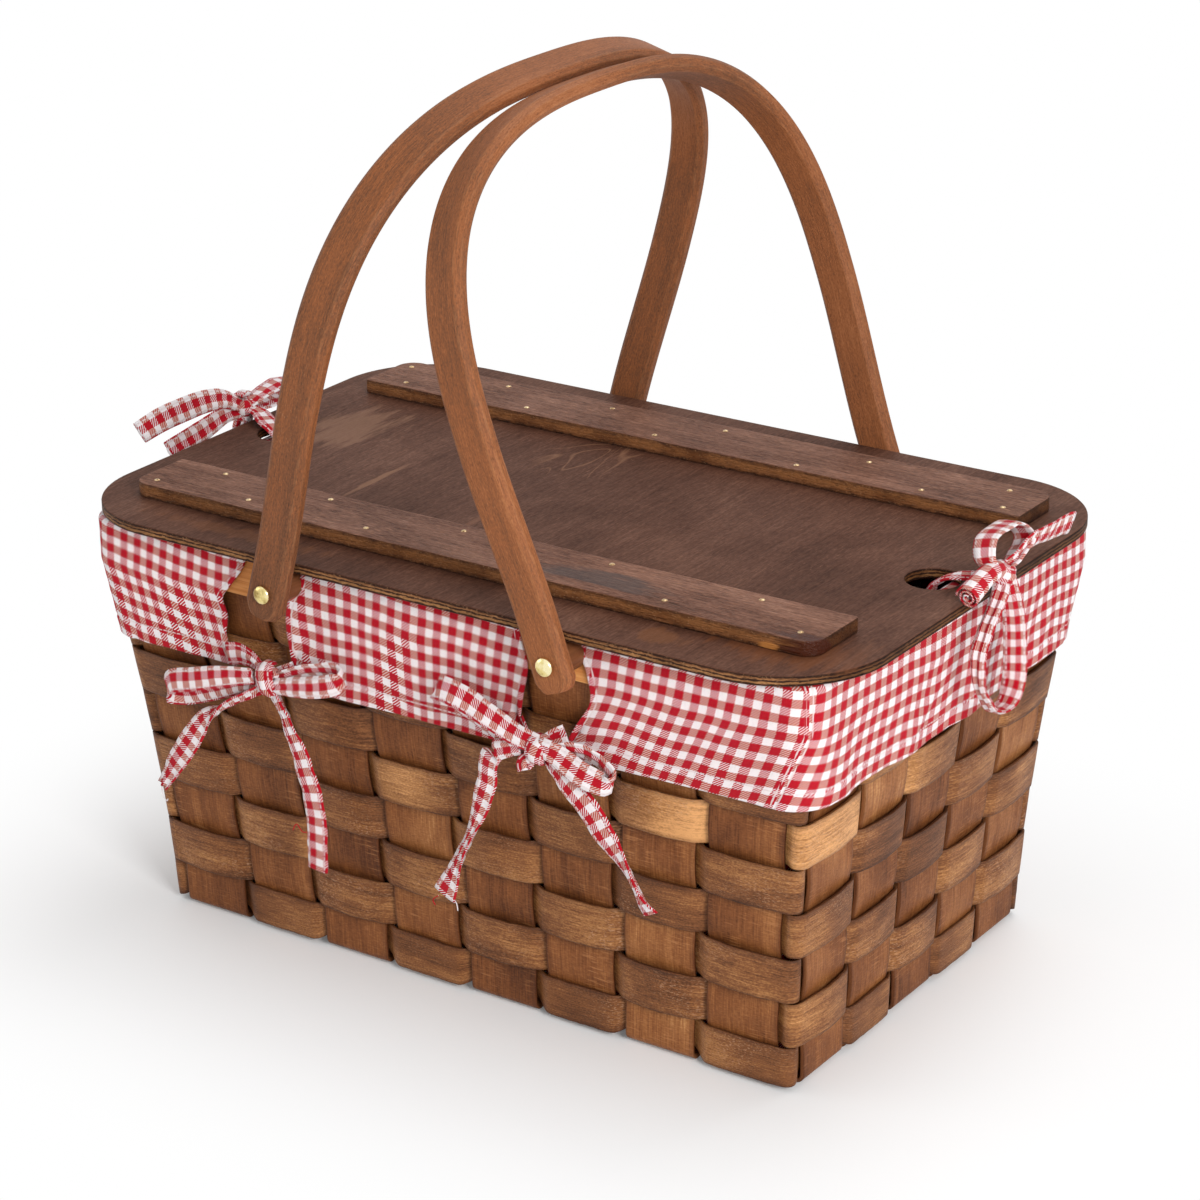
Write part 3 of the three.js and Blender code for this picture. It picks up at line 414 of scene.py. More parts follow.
# Each wood. Layers are (along, across, detail, distortion, gain), with frequencies per metre. Marks are
# (along, across, limit, patch frequency, patch limit, colour, strength). Spots are (centre, radii, colour,
# strength, roughness), and the figure is (centre, radii, frequencies, levels, colour), in mm.
woods = {
    "weaver": {
        "layers": [(110, 2200, 1, 0, 0.5), (26, 900, 2, 0, 0.35), (7, 110, 2, 0.4, 0.4),
                   (24, 40, 3, 0.3, 0.75), (900, 1500, 1, 0, 0.5)],
        "marks": [(620, 1500, 0.57, 20, 0.46, (0.52, 0.3, 0.17), 0.5),
                  (120, 2200, 0.62, 40, 0.38, darkPore, 0.4), (14, 420, 0.66, 26, 0.5, darkPore, 0.35)],
        "colours": [(0.0, (0.03, 0.01, 0.003)), (0.3, (0.105, 0.035, 0.01)), (0.5, (0.198, 0.07, 0.021)),
                    (0.72, (0.37, 0.162, 0.053)), (1.0, (0.68, 0.34, 0.13))],
        "rough": 0.52, "specular": 0.25, "relief": 0.5, "depth": 0.0003, "shade": 0.55},
    "stake": {
        "layers": [(90, 2100, 1, 0, 0.4), (16, 700, 2, 0, 0.3), (5, 80, 2, 0.4, 0.4),
                   (20, 30, 3, 0.3, 0.75), (1500, 500, 1, 0, 0.35)],
        "marks": [(1300, 90, 0.58, 26, 0.44, (0.46, 0.2, 0.075), 0.5),
                  (1500, 70, 0.64, 30, 0.42, darkPore, 0.35), (100, 2200, 0.63, 40, 0.38, darkPore, 0.35)],
        "colours": [(0.0, (0.033, 0.01, 0.003)), (0.3, (0.113, 0.034, 0.009)), (0.5, (0.205, 0.067, 0.018)),
                    (0.72, (0.33, 0.128, 0.039)), (1.0, (0.66, 0.34, 0.13))],
        "rough": 0.55, "specular": 0.22, "relief": 0.45, "depth": 0.0003, "shade": 0.5},
    "rim": {
        "axis": "x", "layers": [(40, 1800, 1, 0, 0.4), (10, 420, 2, 0, 0.6), (14, 60, 2, 0.3, 0.6)],
        "marks": [(80, 2200, 0.62, 40, 0.35, darkPore, 0.4)],
        "colours": [(0.0, (0.18, 0.058, 0.014)), (0.5, (0.55, 0.2, 0.048)), (1.0, (0.8, 0.43, 0.15))],
        "rough": 0.55, "specular": 0.2, "relief": 0.6, "depth": 0.0004},
    "lid": {
        "axis": "y", "layers": [(120, 1900, 1, 0, 0.4), (22, 420, 2, 0, 0.25), (6, 60, 2, 0.5, 0.28),
                                (16, 20, 4, 0.5, 0.6), (400, 700, 2, 0, 0.45)],
        "marks": [(190, 1700, 0.64, 18, 0.5, (0.34, 0.17, 0.1), 0.45),
                  (160, 2100, 0.62, 30, 0.4, darkPore, 0.6),
                  (26, 900, 0.69, 14, 0.5, (0.3, 0.14, 0.075), 0.45)],
        "colours": [(0.0, (0.02, 0.007, 0.004)), (0.3, (0.06, 0.024, 0.014)), (0.5, (0.098, 0.04, 0.024)),
                    (0.75, (0.165, 0.075, 0.046)), (1.0, (0.36, 0.19, 0.11))],
        "rough": 0.6, "roughRange": -0.25, "specular": 0.1, "relief": 0.5, "depth": 0.0003,
        # the first spot, the pale patch on the lid's left, is pale streaky wood and a painted reflection
        "spots": [((-160, 22, 211.8), (24, 40, 20), (0.25, 0.13, 0.08), 0.6, None),
                  ((-103, -36, 211.8), (2.6, 30, 20), (0.3, 0.155, 0.09), 0.6, None),
                  ((-30, -52, 211.8), (2, 18, 20), (0.26, 0.12, 0.07), 0.4, None),
                  ((118, -122, 211.8), (17, 9, 4), (0.22, 0.085, 0.032), 0.4, None),
                  ((-112, -122, 211.8), (60, 7, 4), (0.2, 0.078, 0.034), 0.35, None),
                  ((172, -98, 211.8), (40, 30, 4), (0.19, 0.064, 0.023), 0.5, 0.36)],
        "figure": ((-34, 50, 211.8), (26, 34, 20), (13, 48, 48), 8.0, (0.3, 0.15, 0.085)),
        "sideHeights": (206.8, 211.8), "sideRagged": 0.35, "sidePatch": (0.35, 0.3, 0.28), "sidePits": 0.75,
        "sides": [(0.0, (0.025, 0.01, 0.006)), (0.2, (0.035, 0.014, 0.008)), (0.27, (0.3, 0.14, 0.055)),
                  (0.4, (0.34, 0.16, 0.06)), (0.46, (0.04, 0.016, 0.009)), (0.57, (0.04, 0.016, 0.009)),
                  (0.62, (0.3, 0.14, 0.055)), (0.72, (0.22, 0.09, 0.035)), (0.8, (0.035, 0.014, 0.008))],
        "endShade": 0.8},
    "batten": {
        "axis": "x", "layers": [(120, 2100, 1, 0, 0.6), (30, 800, 2, 0, 0.5), (7, 90, 2, 0.4, 0.4),
                                (18, 36, 3, 0.3, 0.7), (400, 1400, 1, 0, 0.5)],
        "marks": [(170, 1900, 0.58, 24, 0.42, (0.42, 0.21, 0.125), 0.55),
                  (130, 2100, 0.57, 26, 0.38, darkPore, 0.75)],
        "colours": [(0.0, (0.03, 0.01, 0.005)), (0.3, (0.09, 0.035, 0.02)), (0.5, (0.185, 0.08, 0.049)),
                    (0.75, (0.29, 0.14, 0.09)), (1.0, (0.5, 0.28, 0.17))],
        "rough": 0.58, "specular": 0.16, "relief": 0.9, "depth": 0.0005,
        "spots": [((66, -96, 219.1), (44, 11, 4), (0.06, 0.047, 0.045), 0.7, None),
                  ((182, -106, 215.5), (20, 13, 9), (0.06, 0.013, 0.005), 0.95, 0.3),
                  # this small pale spot by the near corner is a painted highlight
                  ((166, -110, 213.4), (6, 4, 3.0), (0.5, 0.2, 0.05), 0.9, None)],
        "sideHeights": (212.1, 219.1), "sideRagged": 0.7, "sidePatch": (0.34, 0.24, 0.18), "sidePits": 0.5,
        "sides": [(0.0, (0.04, 0.014, 0.006)), (0.25, (0.2, 0.075, 0.026)), (0.6, (0.27, 0.108, 0.036)),
                  (1.0, (0.08, 0.03, 0.013))], "endShade": 0.75},
    "handle": {
        "layers": [(160, 1700, 1, 0, 0.4), (20, 520, 2, 0, 0.22), (4, 70, 2, 0.4, 0.25),
                   (12, 26, 3, 0.3, 0.45), (700, 1300, 1, 0, 0.4)],
        "marks": [(420, 1500, 0.6, 30, 0.38, darkPore, 0.45),
                  (3, 420, 0.7, 12, 0.52, darkPore, 0.5),
                  (520, 1500, 0.63, 20, 0.5, (0.55, 0.28, 0.14), 0.35)],
        "colours": [(0.0, (0.06, 0.021, 0.009)), (0.3, (0.15, 0.059, 0.027)), (0.5, (0.265, 0.09, 0.032)),
                    (0.72, (0.37, 0.138, 0.053)), (1.0, (0.58, 0.28, 0.125))],
        "rough": 0.58, "specular": 0.16, "relief": 0.45, "depth": 0.0003,
        "worn": 0.3, "wornColour": (0.42, 0.19, 0.085)},
    "spacer": {
        "axis": "y", "layers": [(60, 900, 2, 0, 0.5), (30, 200, 2, 0, 0.5)],
        "colours": [(0.0, (0.06, 0.02, 0.008)), (1.0, (0.28, 0.1, 0.036))], "rough": 0.55,
        "specular": 0.2, "relief": 0.6, "depth": 0.0004},
}
finishes = {name: woodFinish(f"{name}Wood", look) for name, look in woods.items()}


metal = {"scratches": 2400.0, "roughRange": 0.16, "relief": 0.08, "depth": 0.0001}


def metalFinish(name, look):
    # Brass: clouds of tarnish and faint scratches from two noises
    material, tree, bsdf = startMaterial(name)
    place = put(tree, "TexCoord").outputs["Object"]
    cloud = noise(tree, scaled(tree, place, (look["cloud"],) * 3), 3)
    fine = noise(tree, scaled(tree, place, (metal["scratches"],) * 3))
    wire(tree, ramp(tree, cloud, look["colours"]), bsdf.inputs["Base Color"])
    bsdf.inputs["Metallic"].default_value = 1.0
    rough = calc(tree, "MULTIPLY_ADD", cloud, metal["roughRange"], look["rough"])
    wire(tree, rough, bsdf.inputs["Roughness"])
    bump = put(tree, "Bump", {"Strength": metal["relief"], "Distance": metal["depth"], "Height": fine})
    wire(tree, bump.outputs[0], bsdf.inputs["Normal"])
    return material


finishes["brass"] = metalFinish("polishedBrass", {
    "cloud": 105.0, "rough": 0.1,
    "colours": [(0.36, (0.34, 0.23, 0.07)), (0.46, (0.8, 0.64, 0.27)), (0.58, (0.95, 0.84, 0.5))]})
finishes["brad"] = metalFinish("dullBrass", {
    "cloud": 900.0, "rough": 0.28,
    "colours": [(0.3, (0.2, 0.11, 0.05)), (0.5, (0.52, 0.36, 0.19)), (0.7, (0.8, 0.64, 0.4))]})

# The check: sizes in mm, the seam's shift and the wander of the stripes in metres
checkCloth = {
    "period": 8.25, "duty": 0.275, "stripeSteep": 33.0, "twill": 1.4, "hatchSteep": 14.0,
    "seamShift": (0.0031, 0.0017), "wander": 0.0013,
    "wanderU": (55.0, 55.0, 0.0), "wanderV": (70.0, 48.0, 0.0),
    "red": (0.44, 0.006, 0.016), "white": (0.83, 0.77, 0.78), "tan": (0.47, 0.175, 0.098),
    "tanShare": 0.48, "redShare": 0.64, "slub": (1300.0, 1300.0, 0.0), "slubShare": 0.1,
    "threads": (1500.0, 260.0, 0.0), "threadShare": 0.25, "threadTint": (0.55, 0.4, 0.42),
    "stitch": 2.6, "stitchShare": 0.74, "hemLine": 8.5, "edgeLine": 3.0, "lineHalf": 0.5, "lineSteep": 5.0,
    "lineTint": (0.5, 0.3, 0.3), "lineShare": 0.25, "sewnColour": (0.8, 0.7, 0.7), "sewnShare": 0.7,
    "rough": 0.9, "specular": 0.12, "sheen": 0.06, "relief": 0.6, "depth": 0.0002,
}


def checkFinish(name):
    # Gingham: red and white warp stripes along V cross red and white weft stripes along U. A diagonal
    # ridge of twill shows warp or weft by turns, so a red and a white stripe mix in a fine hatch.
    c = checkCloth
    material, tree, bsdf = startMaterial(name)
    place = put(tree, "UVMap", uv_map="UVMap").outputs[0]
    axes = put(tree, "SeparateXYZ", {0: place}).outputs
    beyond = calc(tree, "GREATER_THAN", attribute(tree, "seamGap"), 0.0)
    wanderU = calc(tree, "SUBTRACT", noise(tree, scaled(tree, place, c["wanderU"])), 0.5)
    wanderV = calc(tree, "SUBTRACT", noise(tree, scaled(tree, place, c["wanderV"])), 0.5)
    u = calc(tree, "MULTIPLY_ADD", beyond, c["seamShift"][0], axes[0])
    v = calc(tree, "MULTIPLY_ADD", beyond, c["seamShift"][1], axes[1])
    u = calc(tree, "MULTIPLY_ADD", wanderU, c["wander"], u)
    v = calc(tree, "MULTIPLY_ADD", wanderV, c["wander"], v)

    def stripe(at):
        inside = calc(tree, "SUBTRACT", c["duty"], bandDistance(tree, at, 1 / (c["period"] * milli)))
        return calc(tree, "MULTIPLY", inside, c["stripeSteep"], clamp=True)

    warp, weft = stripe(u), stripe(v)
    twill = bandDistance(tree, calc(tree, "ADD", u, v), 1 / (c["twill"] * milli))
    limit = calc(tree, "MULTIPLY_ADD", weft, 0.5 - c["redShare"], c["redShare"] / 2)
    slub = noise(tree, scaled(tree, place, c["slub"]), 1)
    limit = calc(tree, "MULTIPLY_ADD", calc(tree, "SUBTRACT", slub, 0.5), c["slubShare"], limit)
    over = calc(tree, "MULTIPLY_ADD", calc(tree, "SUBTRACT", limit, twill), c["hatchSteep"], 0.5, clamp=True)
    warpColour = mixed(tree, warp, c["white"], c["red"])
    weftColour = mixed(tree, weft, c["white"], c["red"])
    colour = mixed(tree, over, weftColour, warpColour)
    single = calc(tree, "MULTIPLY", weft, calc(tree, "SUBTRACT", 1.0, warp))
    colour = mixed(tree, calc(tree, "MULTIPLY", single, c["tanShare"]), colour, c["tan"])
    threads = past(tree, noise(tree, scaled(tree, place, c["threads"]), 1), 0.5, 3.0)
    threads = calc(tree, "MULTIPLY", threads, c["threadShare"])
    colour = mixed(tree, threads, colour, c["threadTint"], "MULTIPLY")
    # sewn lines: a pale thread that shows in dashes beside a slight shade, along hems and rolled edges
    dash = calc(tree, "FRACT", calc(tree, "MULTIPLY", attribute(tree, "along"), 1 / c["stitch"]))
    dash = calc(tree, "LESS_THAN", dash, c["stitchShare"])
    lines = 0.0
    for gapName, at in (("hemGap", c["hemLine"]), ("edgeGap", c["edgeLine"])):
        gap = calc(tree, "ABSOLUTE", calc(tree, "SUBTRACT", attribute(tree, gapName), at))
        inside = calc(tree, "SUBTRACT", c["lineHalf"], gap)
        lines = calc(tree, "MAXIMUM", lines, calc(tree, "MULTIPLY", inside, c["lineSteep"], clamp=True))
    sewn = calc(tree, "MULTIPLY", lines, dash)
    colour = mixed(tree, calc(tree, "MULTIPLY", lines, c["lineShare"]), colour, c["lineTint"], "MULTIPLY")
    colour = mixed(tree, calc(tree, "MULTIPLY", sewn, c["sewnShare"]), colour, c["sewnColour"])
    wire(tree, colour, bsdf.inputs["Base Color"])
    bsdf.inputs["Roughness"].default_value = c["rough"]
    bsdf.inputs["Specular IOR Level"].default_value = c["specular"]
    bsdf.inputs["Sheen Weight"].default_value = c["sheen"]
    thread = calc(tree, "MULTIPLY_ADD", slub, 0.8, over)
    thread = calc(tree, "MULTIPLY_ADD", sewn, 1.5, thread)
    bump = put(tree, "Bump", {"Strength": c["relief"], "Distance": c["depth"], "Height": thread})
    wire(tree, bump.outputs[0], bsdf.inputs["Normal"])
    return material


finishes["cloth"] = checkFinish("ginghamCotton")
print("finishes made")

# The weave: base and mouth are the half sizes of the walls' middle surface along X and Y at foot and rim
weave = {
    "splint": 1.8, "gap": 0.3, "base": (176.0, 104.5), "mouth": (193.0, 123.0), "flare": 0.6,
    "rows": 8, "pitch": 23.0, "longStakes": 8, "endStakes": 5, "stakeShare": 0.85,
    "corner": 5.0, "margin": 7.0, "bend": 3.5, "rimTop": 205.2,
    "arch": 1.7, "sway": 0.9, "swell": 0.12, "firstArch": 0.15, "ease": 0.28, "dome": 0.16,
    "footBulge": 1.3, "footLevel": 2.1, "midHeight": 92.0, "step": 1.3, "cornerShare": 0.62, "pressed": -0.45,
    "firstInside": 7.6, "firstOutside": 2.7, "wander": 0.35, "ragged": 0.16,
}
layer = weave["splint"] + weave["gap"]
baseLevel = weave["splint"] / 2 + layer
rimLow = weave["rows"] * weave["pitch"] + weave["gap"]
sideAlong = np.array([(1, 0), (0, 1), (-1, 0), (0, -1)], float)
sideOut = np.array([(0, -1), (1, 0), (0, 1), (-1, 0)], float)
sideStakes = [weave["longStakes"], weave["endStakes"], weave["longStakes"], weave["endStakes"]]
# the tone of each row's strip and each column's strip, from dark to light
rowTone = [-0.02, 0.0, 0.02, -0.03, 0.0, 0.04, -0.02, 0.02]
longTone = [-0.05, -0.02, -0.06, 0.02, -0.04, 0.0, 0.06, -0.02]
endTone = [0.0, 0.06, -0.02, 0.02, 0.08]
# where a row's strip is far lighter: mm past the front right corner, its half length and how much
paleRuns = {5: (16, 85, 0.38), 6: (100, 38, 0.24), 7: (190, 40, 0.24)}


def wallHalf(z, axis):
    # Half size of the wall's middle surface at height z, along X (axis 0) or Y (axis 1). It grows with
    # the height by a parabola, slowly at the base.
    rise = np.clip((np.asarray(z, float) - baseLevel) / (rimLow - baseLevel), 0, 1)
    share = rise * (1 - weave["flare"] + weave["flare"] * rise)
    return weave["base"][axis] + (weave["mouth"][axis] - weave["base"][axis]) * share


def bySide(side, onLong, onEnds):
    # One value on the long sides and another on the ends
    return np.where(side % 2 == 0, onLong, onEnds)


def wallPoint(side, q, extra, turn, off, z):
    # A point of the wall on arrays: q runs from -1 to 1 between a side's outermost stake edges, extra is
    # mm beyond them, turn is the angle round the corner after the side, off is outwards in mm.
    reach = bySide(side, wallHalf(z, 0), wallHalf(z, 1))
    depth = bySide(side, wallHalf(z, 1), wallHalf(z, 0))
    r = weave["corner"]
    run = q * (reach - weave["margin"]) + extra + (r + off) * np.sin(turn)
    out = np.where(turn > 0, depth - r + (r + off) * np.cos(turn), depth + off)
    xy = sideAlong[side] * run[..., None] + sideOut[side] * out[..., None]
    return np.concatenate([xy, np.broadcast_to(z, run.shape)[..., None]], -1)


def stakePitch(count):
    # The distance between stakes, as a share of the wall's half length inside its margins
    return 2.0 / (count - 1 + weave["stakeShare"])


def ringStations():
    # Stations round the basket at even steps, and where each stake's middle and half width fall.
    side, q, extra, turn, run = [], [], [], [], []
    middles, halves = [], []
    total = 0.0
    spare = weave["margin"] - weave["corner"]
    for s in range(4):
        half = float(wallHalf(weave["midHeight"], s % 2)) - weave["margin"]
        length = 2 * (half + spare)
        x = np.linspace(-half - spare, half + spare, int(length / weave["step"]), endpoint=False)
        side.append(np.full(len(x), s))
        q.append(np.clip(x / half, -1, 1))
        extra.append(x - np.clip(x / half, -1, 1) * half)
        turn.append(np.zeros(len(x)))
        run.append(total + x + half + spare)
        pitch = stakePitch(sideStakes[s]) * half
        for n in range(sideStakes[s]):
            middles.append(total + half + spare + (n - (sideStakes[s] - 1) / 2) * pitch)
            halves.append(weave["stakeShare"] * pitch / 2)
        total += length
        a = np.linspace(0, math.pi / 2, 10, endpoint=False)
        arc = (weave["corner"] + 2) * math.pi / 2
        side.append(np.full(len(a), s))
        q.append(np.ones(len(a)))
        extra.append(np.full(len(a), spare))
        turn.append(a)
        run.append(total + arc * a / (math.pi / 2))
        total += arc
    return [np.concatenate(v) for v in (side, q, extra, turn, run)] + [total, middles, halves]


stationSide, stationQ, stationExtra, stationTurn, stationRun, ringLength, stakeMiddles, stakeHalves = (
    ringStations())


def weaverOffset(row):
    # How far a weaver stands out at each station: outside and inside the stakes by turns, joined by
    # straight slopes that a bell-shaped average rounds, plus an arch over each stake.
    places, heights = [], []
    count = len(stakeMiddles)
    for k in range(count):
        sign = 1 if (k + row) % 2 else -1
        for end in (-1, 1):
            places.append(stakeMiddles[k] + end * (stakeHalves[k] + 0.4))
            heights.append(sign * layer)
    places, heights = np.array(places), np.array(heights)
    # round a corner the strip stays out until the stake that it goes behind
    extraPlaces, extraHeights = [], []
    total = np.cumsum([0] + sideStakes)
    for s in range(4):
        last, first = total[s + 1] - 1, total[s + 1] % count
        lastOut = (last + row) % 2 == 1
        a = stakeMiddles[last] + stakeHalves[last] + 2
        b = (stakeMiddles[first] - stakeHalves[first] - 2) % ringLength
        if b < a:
            b += ringLength
        share = (0.0, weave["cornerShare"]) if lastOut else (1 - weave["cornerShare"], 1.0)
        for f in np.linspace(share[0], share[1], 3):
            extraPlaces.append((a + f * (b - a)) % ringLength)
            extraHeights.append(layer)
    places = np.concatenate([places, extraPlaces])
    heights = np.concatenate([heights, extraHeights])
    order = np.argsort(places)
    places, heights = places[order], heights[order]
    even = np.linspace(0, ringLength, 2400, endpoint=False)
    base = np.interp(even, places, heights, period=ringLength)
    arch = np.zeros_like(even)
    r = np.random.default_rng(100 + row)
    for k in range(count):
        sign = 1 if (k + row) % 2 else weave["pressed"]
        near = (even - stakeMiddles[k] + ringLength / 2) % ringLength - ringLength / 2
        half = stakeHalves[k] + 3
        height = weave["arch"] * r.uniform(0.8, 1.2) * (weave["firstArch"] if row == 0 else 1)
        over = np.cos(np.clip(near / half, -1, 1) * np.pi / 2)
        arch += sign * height * over ** 1.3
    width = 1.5 / (ringLength / len(even))
    kernel = np.exp(-0.5 * (np.arange(-12, 13) / width) ** 2)
    kernel /= kernel.sum()
    smooth = np.convolve(np.concatenate([base[-12:], base, base[:12]]), kernel, "valid")
    return np.interp(stationRun, even, smooth + arch, period=ringLength)


def weaverPiece(row):
    # A weaver: an eased bar section carried round the ring. Outside a stake it stands a little taller
    # than its row, and its face is slightly domed by a parabola. Pale runs fade by a flat-topped bell.
    w = weave
    off = weaverOffset(row)
    out = np.clip((off - layer) / w["arch"], 0, 1.2)
    low, high = row * w["pitch"] + w["gap"], (row + 1) * w["pitch"] - w["gap"]
    lean = noiseAlong(stationRun, 60, 50 + row) * w["wander"]
    low = np.full(len(off), low) - w["swell"] * out + lean
    high = np.full(len(off), high) + w["swell"] * out + lean
    if row == 0:
        # the first one hugs the base's bend: pressed down outside the stakes, raised inside them
        pressed = np.clip((off + layer) / (2 * layer), 0, 1)
        low = w["firstInside"] + (w["firstOutside"] - w["firstInside"]) * pressed ** 0.5 + 0.3 * lean
    low = low + w["ragged"] * noiseAlong(stationRun, 7, 150 + row)
    high = np.minimum(high + w["ragged"] * noiseAlong(stationRun, 8, 250 + row), rimLow - 0.2)
    sign, part, inset, through, edge = stripOutline(w["splint"], w["ease"]).T
    height = (high - low)[:, None]
    across = sign * (part * height / 2 - inset)
    z = (low + high)[:, None] / 2 + across
    dome = w["dome"] * (1 - (2 * across / height) ** 2)
    depth = through + off[:, None] + dome
    tile = np.ones_like(z, int)
    points = wallPoint(stationSide[:, None] * tile, stationQ[:, None] * tile, stationExtra[:, None] * tile,
                       stationTurn[:, None] * tile, depth, z)
    u = np.append(stationRun, ringLength)[:, None] * np.ones(len(sign) + 1)
    v = sign * (part * 11 - inset) + (through < 0) * 30
    v = np.broadcast_to(np.append(v, v[0]), u.shape)
    corner = stationRun[(stationSide == 0) & (stationTurn > 0)][0]
    shift, wide, lift = paleRuns.get(row, (0, 1, 0))
    pale = lift * np.exp(-((stationRun - corner - shift) / wide) ** 4)
    tone = rowTone[row] + pale + 0.12 * noiseAlong(stationRun, 60, 300 + row)
    return {"points": points, "uv": np.stack([u, v], -1), "closeRows": True, "closeCols": True,
            "values": {"seed": 3.7 * row + 1, "tone": tone[:, None], "edge": edge}}


for row in range(weave["rows"]):
    piece = gridPiece(f"weaverStrip{row + 1}", [weaverPiece(row)], "basket", finishes["weaver"])
    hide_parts(f"weaver_{row + 1}")
print("weavers woven")


def stakePath(side, n):
    # The half of a stake on one wall, from the rim down and round the bend to the base: centre offsets
    # and heights, its bend's quarter circle, and its run along the wall.
    count = sideStakes[side]
    first = int(np.sum(sideStakes[:side]))
    if side % 2 == 0:
        level = baseLevel
    else:
        crossed = weave["longStakes"] - 1 if side == 1 else 0
        under = ((n if side == 1 else count - 1 - n) + crossed) % 2 == 0
        level = baseLevel - layer if under else baseLevel + layer
    # a stake that shows in the first row reaches down and out to the weaver's line at its foot
    shows = (first + n) % 2 == 0
    foot = min(level, weave["footLevel"]) if shows else level
    top = foot + weave["bend"]
    wallRows, bendRows = 90, 9
    z = np.concatenate([np.linspace(weave["rimTop"], top, wallRows), np.full(bendRows, top)])
    turn = np.concatenate([np.zeros(wallRows), np.linspace(0, math.pi / 2, bendRows + 1)[1:]])
    # it sways out and in by a cosine of the row, and its foot bulges by a smooth step
    rowNow = z / weave["pitch"] - 0.5
    sign = np.cos(np.pi * (rowNow + first + n))
    sway = weave["sway"] * sign * (z < rimLow - 4) * np.clip((z - 12) / 12, 0, 1)
    near = np.clip((32 - z) / 26, 0, 1)
    bulge = weave["footBulge"] * near * near * (3 - 2 * near) * shows
    # then it climbs back to its own level under the basket
    z = np.concatenate([z, np.linspace(top, level + weave["bend"], 5)[1:]])
    inwards = np.concatenate([np.zeros(wallRows + bendRows), [0.9, 1.9, 2.9, 3.7]])
    turn = np.concatenate([turn, np.full(4, math.pi / 2)])
    sway = np.concatenate([sway, np.zeros(4)])
    bulge = np.concatenate([bulge, np.full(4, weave["footBulge"] * shows)]) - inwards
    return z, turn, sway, bulge


def stakePiece(side, n):
    # A stake: an eased bar section down one wall, across the base and up the opposite wall. A lengthwise
    # one goes under and over the crosswise ones by turns.
    count = sideStakes[side]
    sign, part, inset, through, edge = stripOutline(weave["splint"], weave["ease"]).T
    pitch = stakePitch(count)

    def sections(thisSide, index, flipped):
        z, turn, sway, bulge = stakePath(thisSide, index)
        reach = wallHalf(z, thisSide % 2)
        depth = wallHalf(z, 1 - thisSide % 2) + bulge
        middle = (index - (count - 1) / 2) * pitch * (reach - weave["margin"])
        width = weave["stakeShare"] * pitch * (reach - weave["margin"])
        x = sign * (part * width[:, None] / 2 - inset) * (-1 if flipped else 1)
        y = through + sway[:, None]
        bend = weave["bend"]
        run = middle[:, None] + x
        out = depth[:, None] - bend + (bend + y) * np.cos(turn)[:, None]
        height = z[:, None] - (bend + y) * np.sin(turn)[:, None]
        xy = sideAlong[thisSide] * run[..., None] + sideOut[thisSide] * out[..., None]
        return np.concatenate([xy, height[..., None]], -1)

    other = (side + 2) % 4
    near = sections(side, n, False)
    far = sections(other, count - 1 - n, True)[::-1]
    parts = [near]
    if side == 1:
        crossPitch = stakePitch(weave["longStakes"]) * (weave["base"][0] - weave["margin"])
        crossHalf = weave["stakeShare"] * crossPitch / 2
        places, levels = [], []
        for k in range(weave["longStakes"] - 1, -1, -1):
            middle = (k - (weave["longStakes"] - 1) / 2) * crossPitch
            level = baseLevel - layer if (n + k) % 2 == 0 else baseLevel + layer
            for end in (1, 0, -1):
                places.append(middle + end * (crossHalf + 0.6))
                levels.append(level)
        x = np.linspace(places[0], places[-1], 220)
        z = np.interp(x[::-1], places[::-1], levels[::-1])[::-1]
        base = np.broadcast_arrays(x[:, None], near[-1][:, 1], z[:, None] - through)
        parts.append(np.stack(base, -1))
    parts.append(far)
    points = np.concatenate(parts)
    run = runOf(points.mean(1))
    u = run[:, None] * np.ones(len(sign) + 1)
    v = sign * (part * 19 - inset) + (through < 0) * 50
    v = np.broadcast_to(np.append(v, v[0]), u.shape)
    tones = longTone if side == 0 else endTone
    tone = tones[n] + 0.09 * noiseAlong(run, 60, 500 + 10 * side + n)
    return {"points": points, "uv": np.stack([u, v], -1), "closeCols": True, "capEnds": True,
            "values": {"seed": 40 + 5.3 * n + 17 * side, "tone": tone[:, None], "edge": edge}}


for n in range(weave["longStakes"]):
    piece = gridPiece(f"crosswiseStrip{n + 1}", [stakePiece(0, n)], "basket", finishes["stake"])
    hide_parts(f"crosswise_stake_{n + 1}")
for n in range(weave["endStakes"]):
    piece = gridPiece(f"lengthwiseStrip{n + 1}", [stakePiece(1, n)], "basket", finishes["stake"])
    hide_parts(f"lengthwise_stake_{n + 1}")
print("stakes set")


def easedCopy(node, name, material, width, body):
    # A merged copy of a CAD node with its sharp edges rounded by a bevel, in place of the node.
    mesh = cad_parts[node].data.copy()
    obj = bpy.data.objects.new(name, mesh)
    bpy.context.scene.collection.objects.link(obj)
    work = bmesh.new()
    work.from_mesh(mesh)
    bmesh.ops.remove_doubles(work, verts=work.verts, dist=0.00002)
    bmesh.ops.dissolve_limit(work, angle_limit=math.radians(1.5), verts=work.verts, edges=work.edges)
    work.to_mesh(mesh)
    work.free()
    mesh.materials.clear()
    mesh.materials.append(material)
    bevel = obj.modifiers.new("easedEdges", "BEVEL")
    bevel.width, bevel.segments, bevel.limit_method = width * milli, 3, "ANGLE"
    bevel.angle_limit = math.radians(35)
    mesh.shade_smooth()
    mesh.set_sharp_from_angle(angle=math.radians(30))
    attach(obj, body)
    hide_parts(node)


easedCopy("lid_panel", "lidBoard", finishes["lid"], 0.7, "lid")
easedCopy("rim_outer", "rimBandOuter", finishes["rim"], 0.7, "basket")
easedCopy("rim_inner", "rimBandInner", finishes["rim"], 0.7, "basket")
print("lid and rim eased")

batten = {
    "half": 188.0, "inner": 72.0, "outer": 109.5, "low": 212.1, "high": 219.1, "outerCorner": 9.0,
    "innerCorner": 1.6, "ragged": 0.12,
}


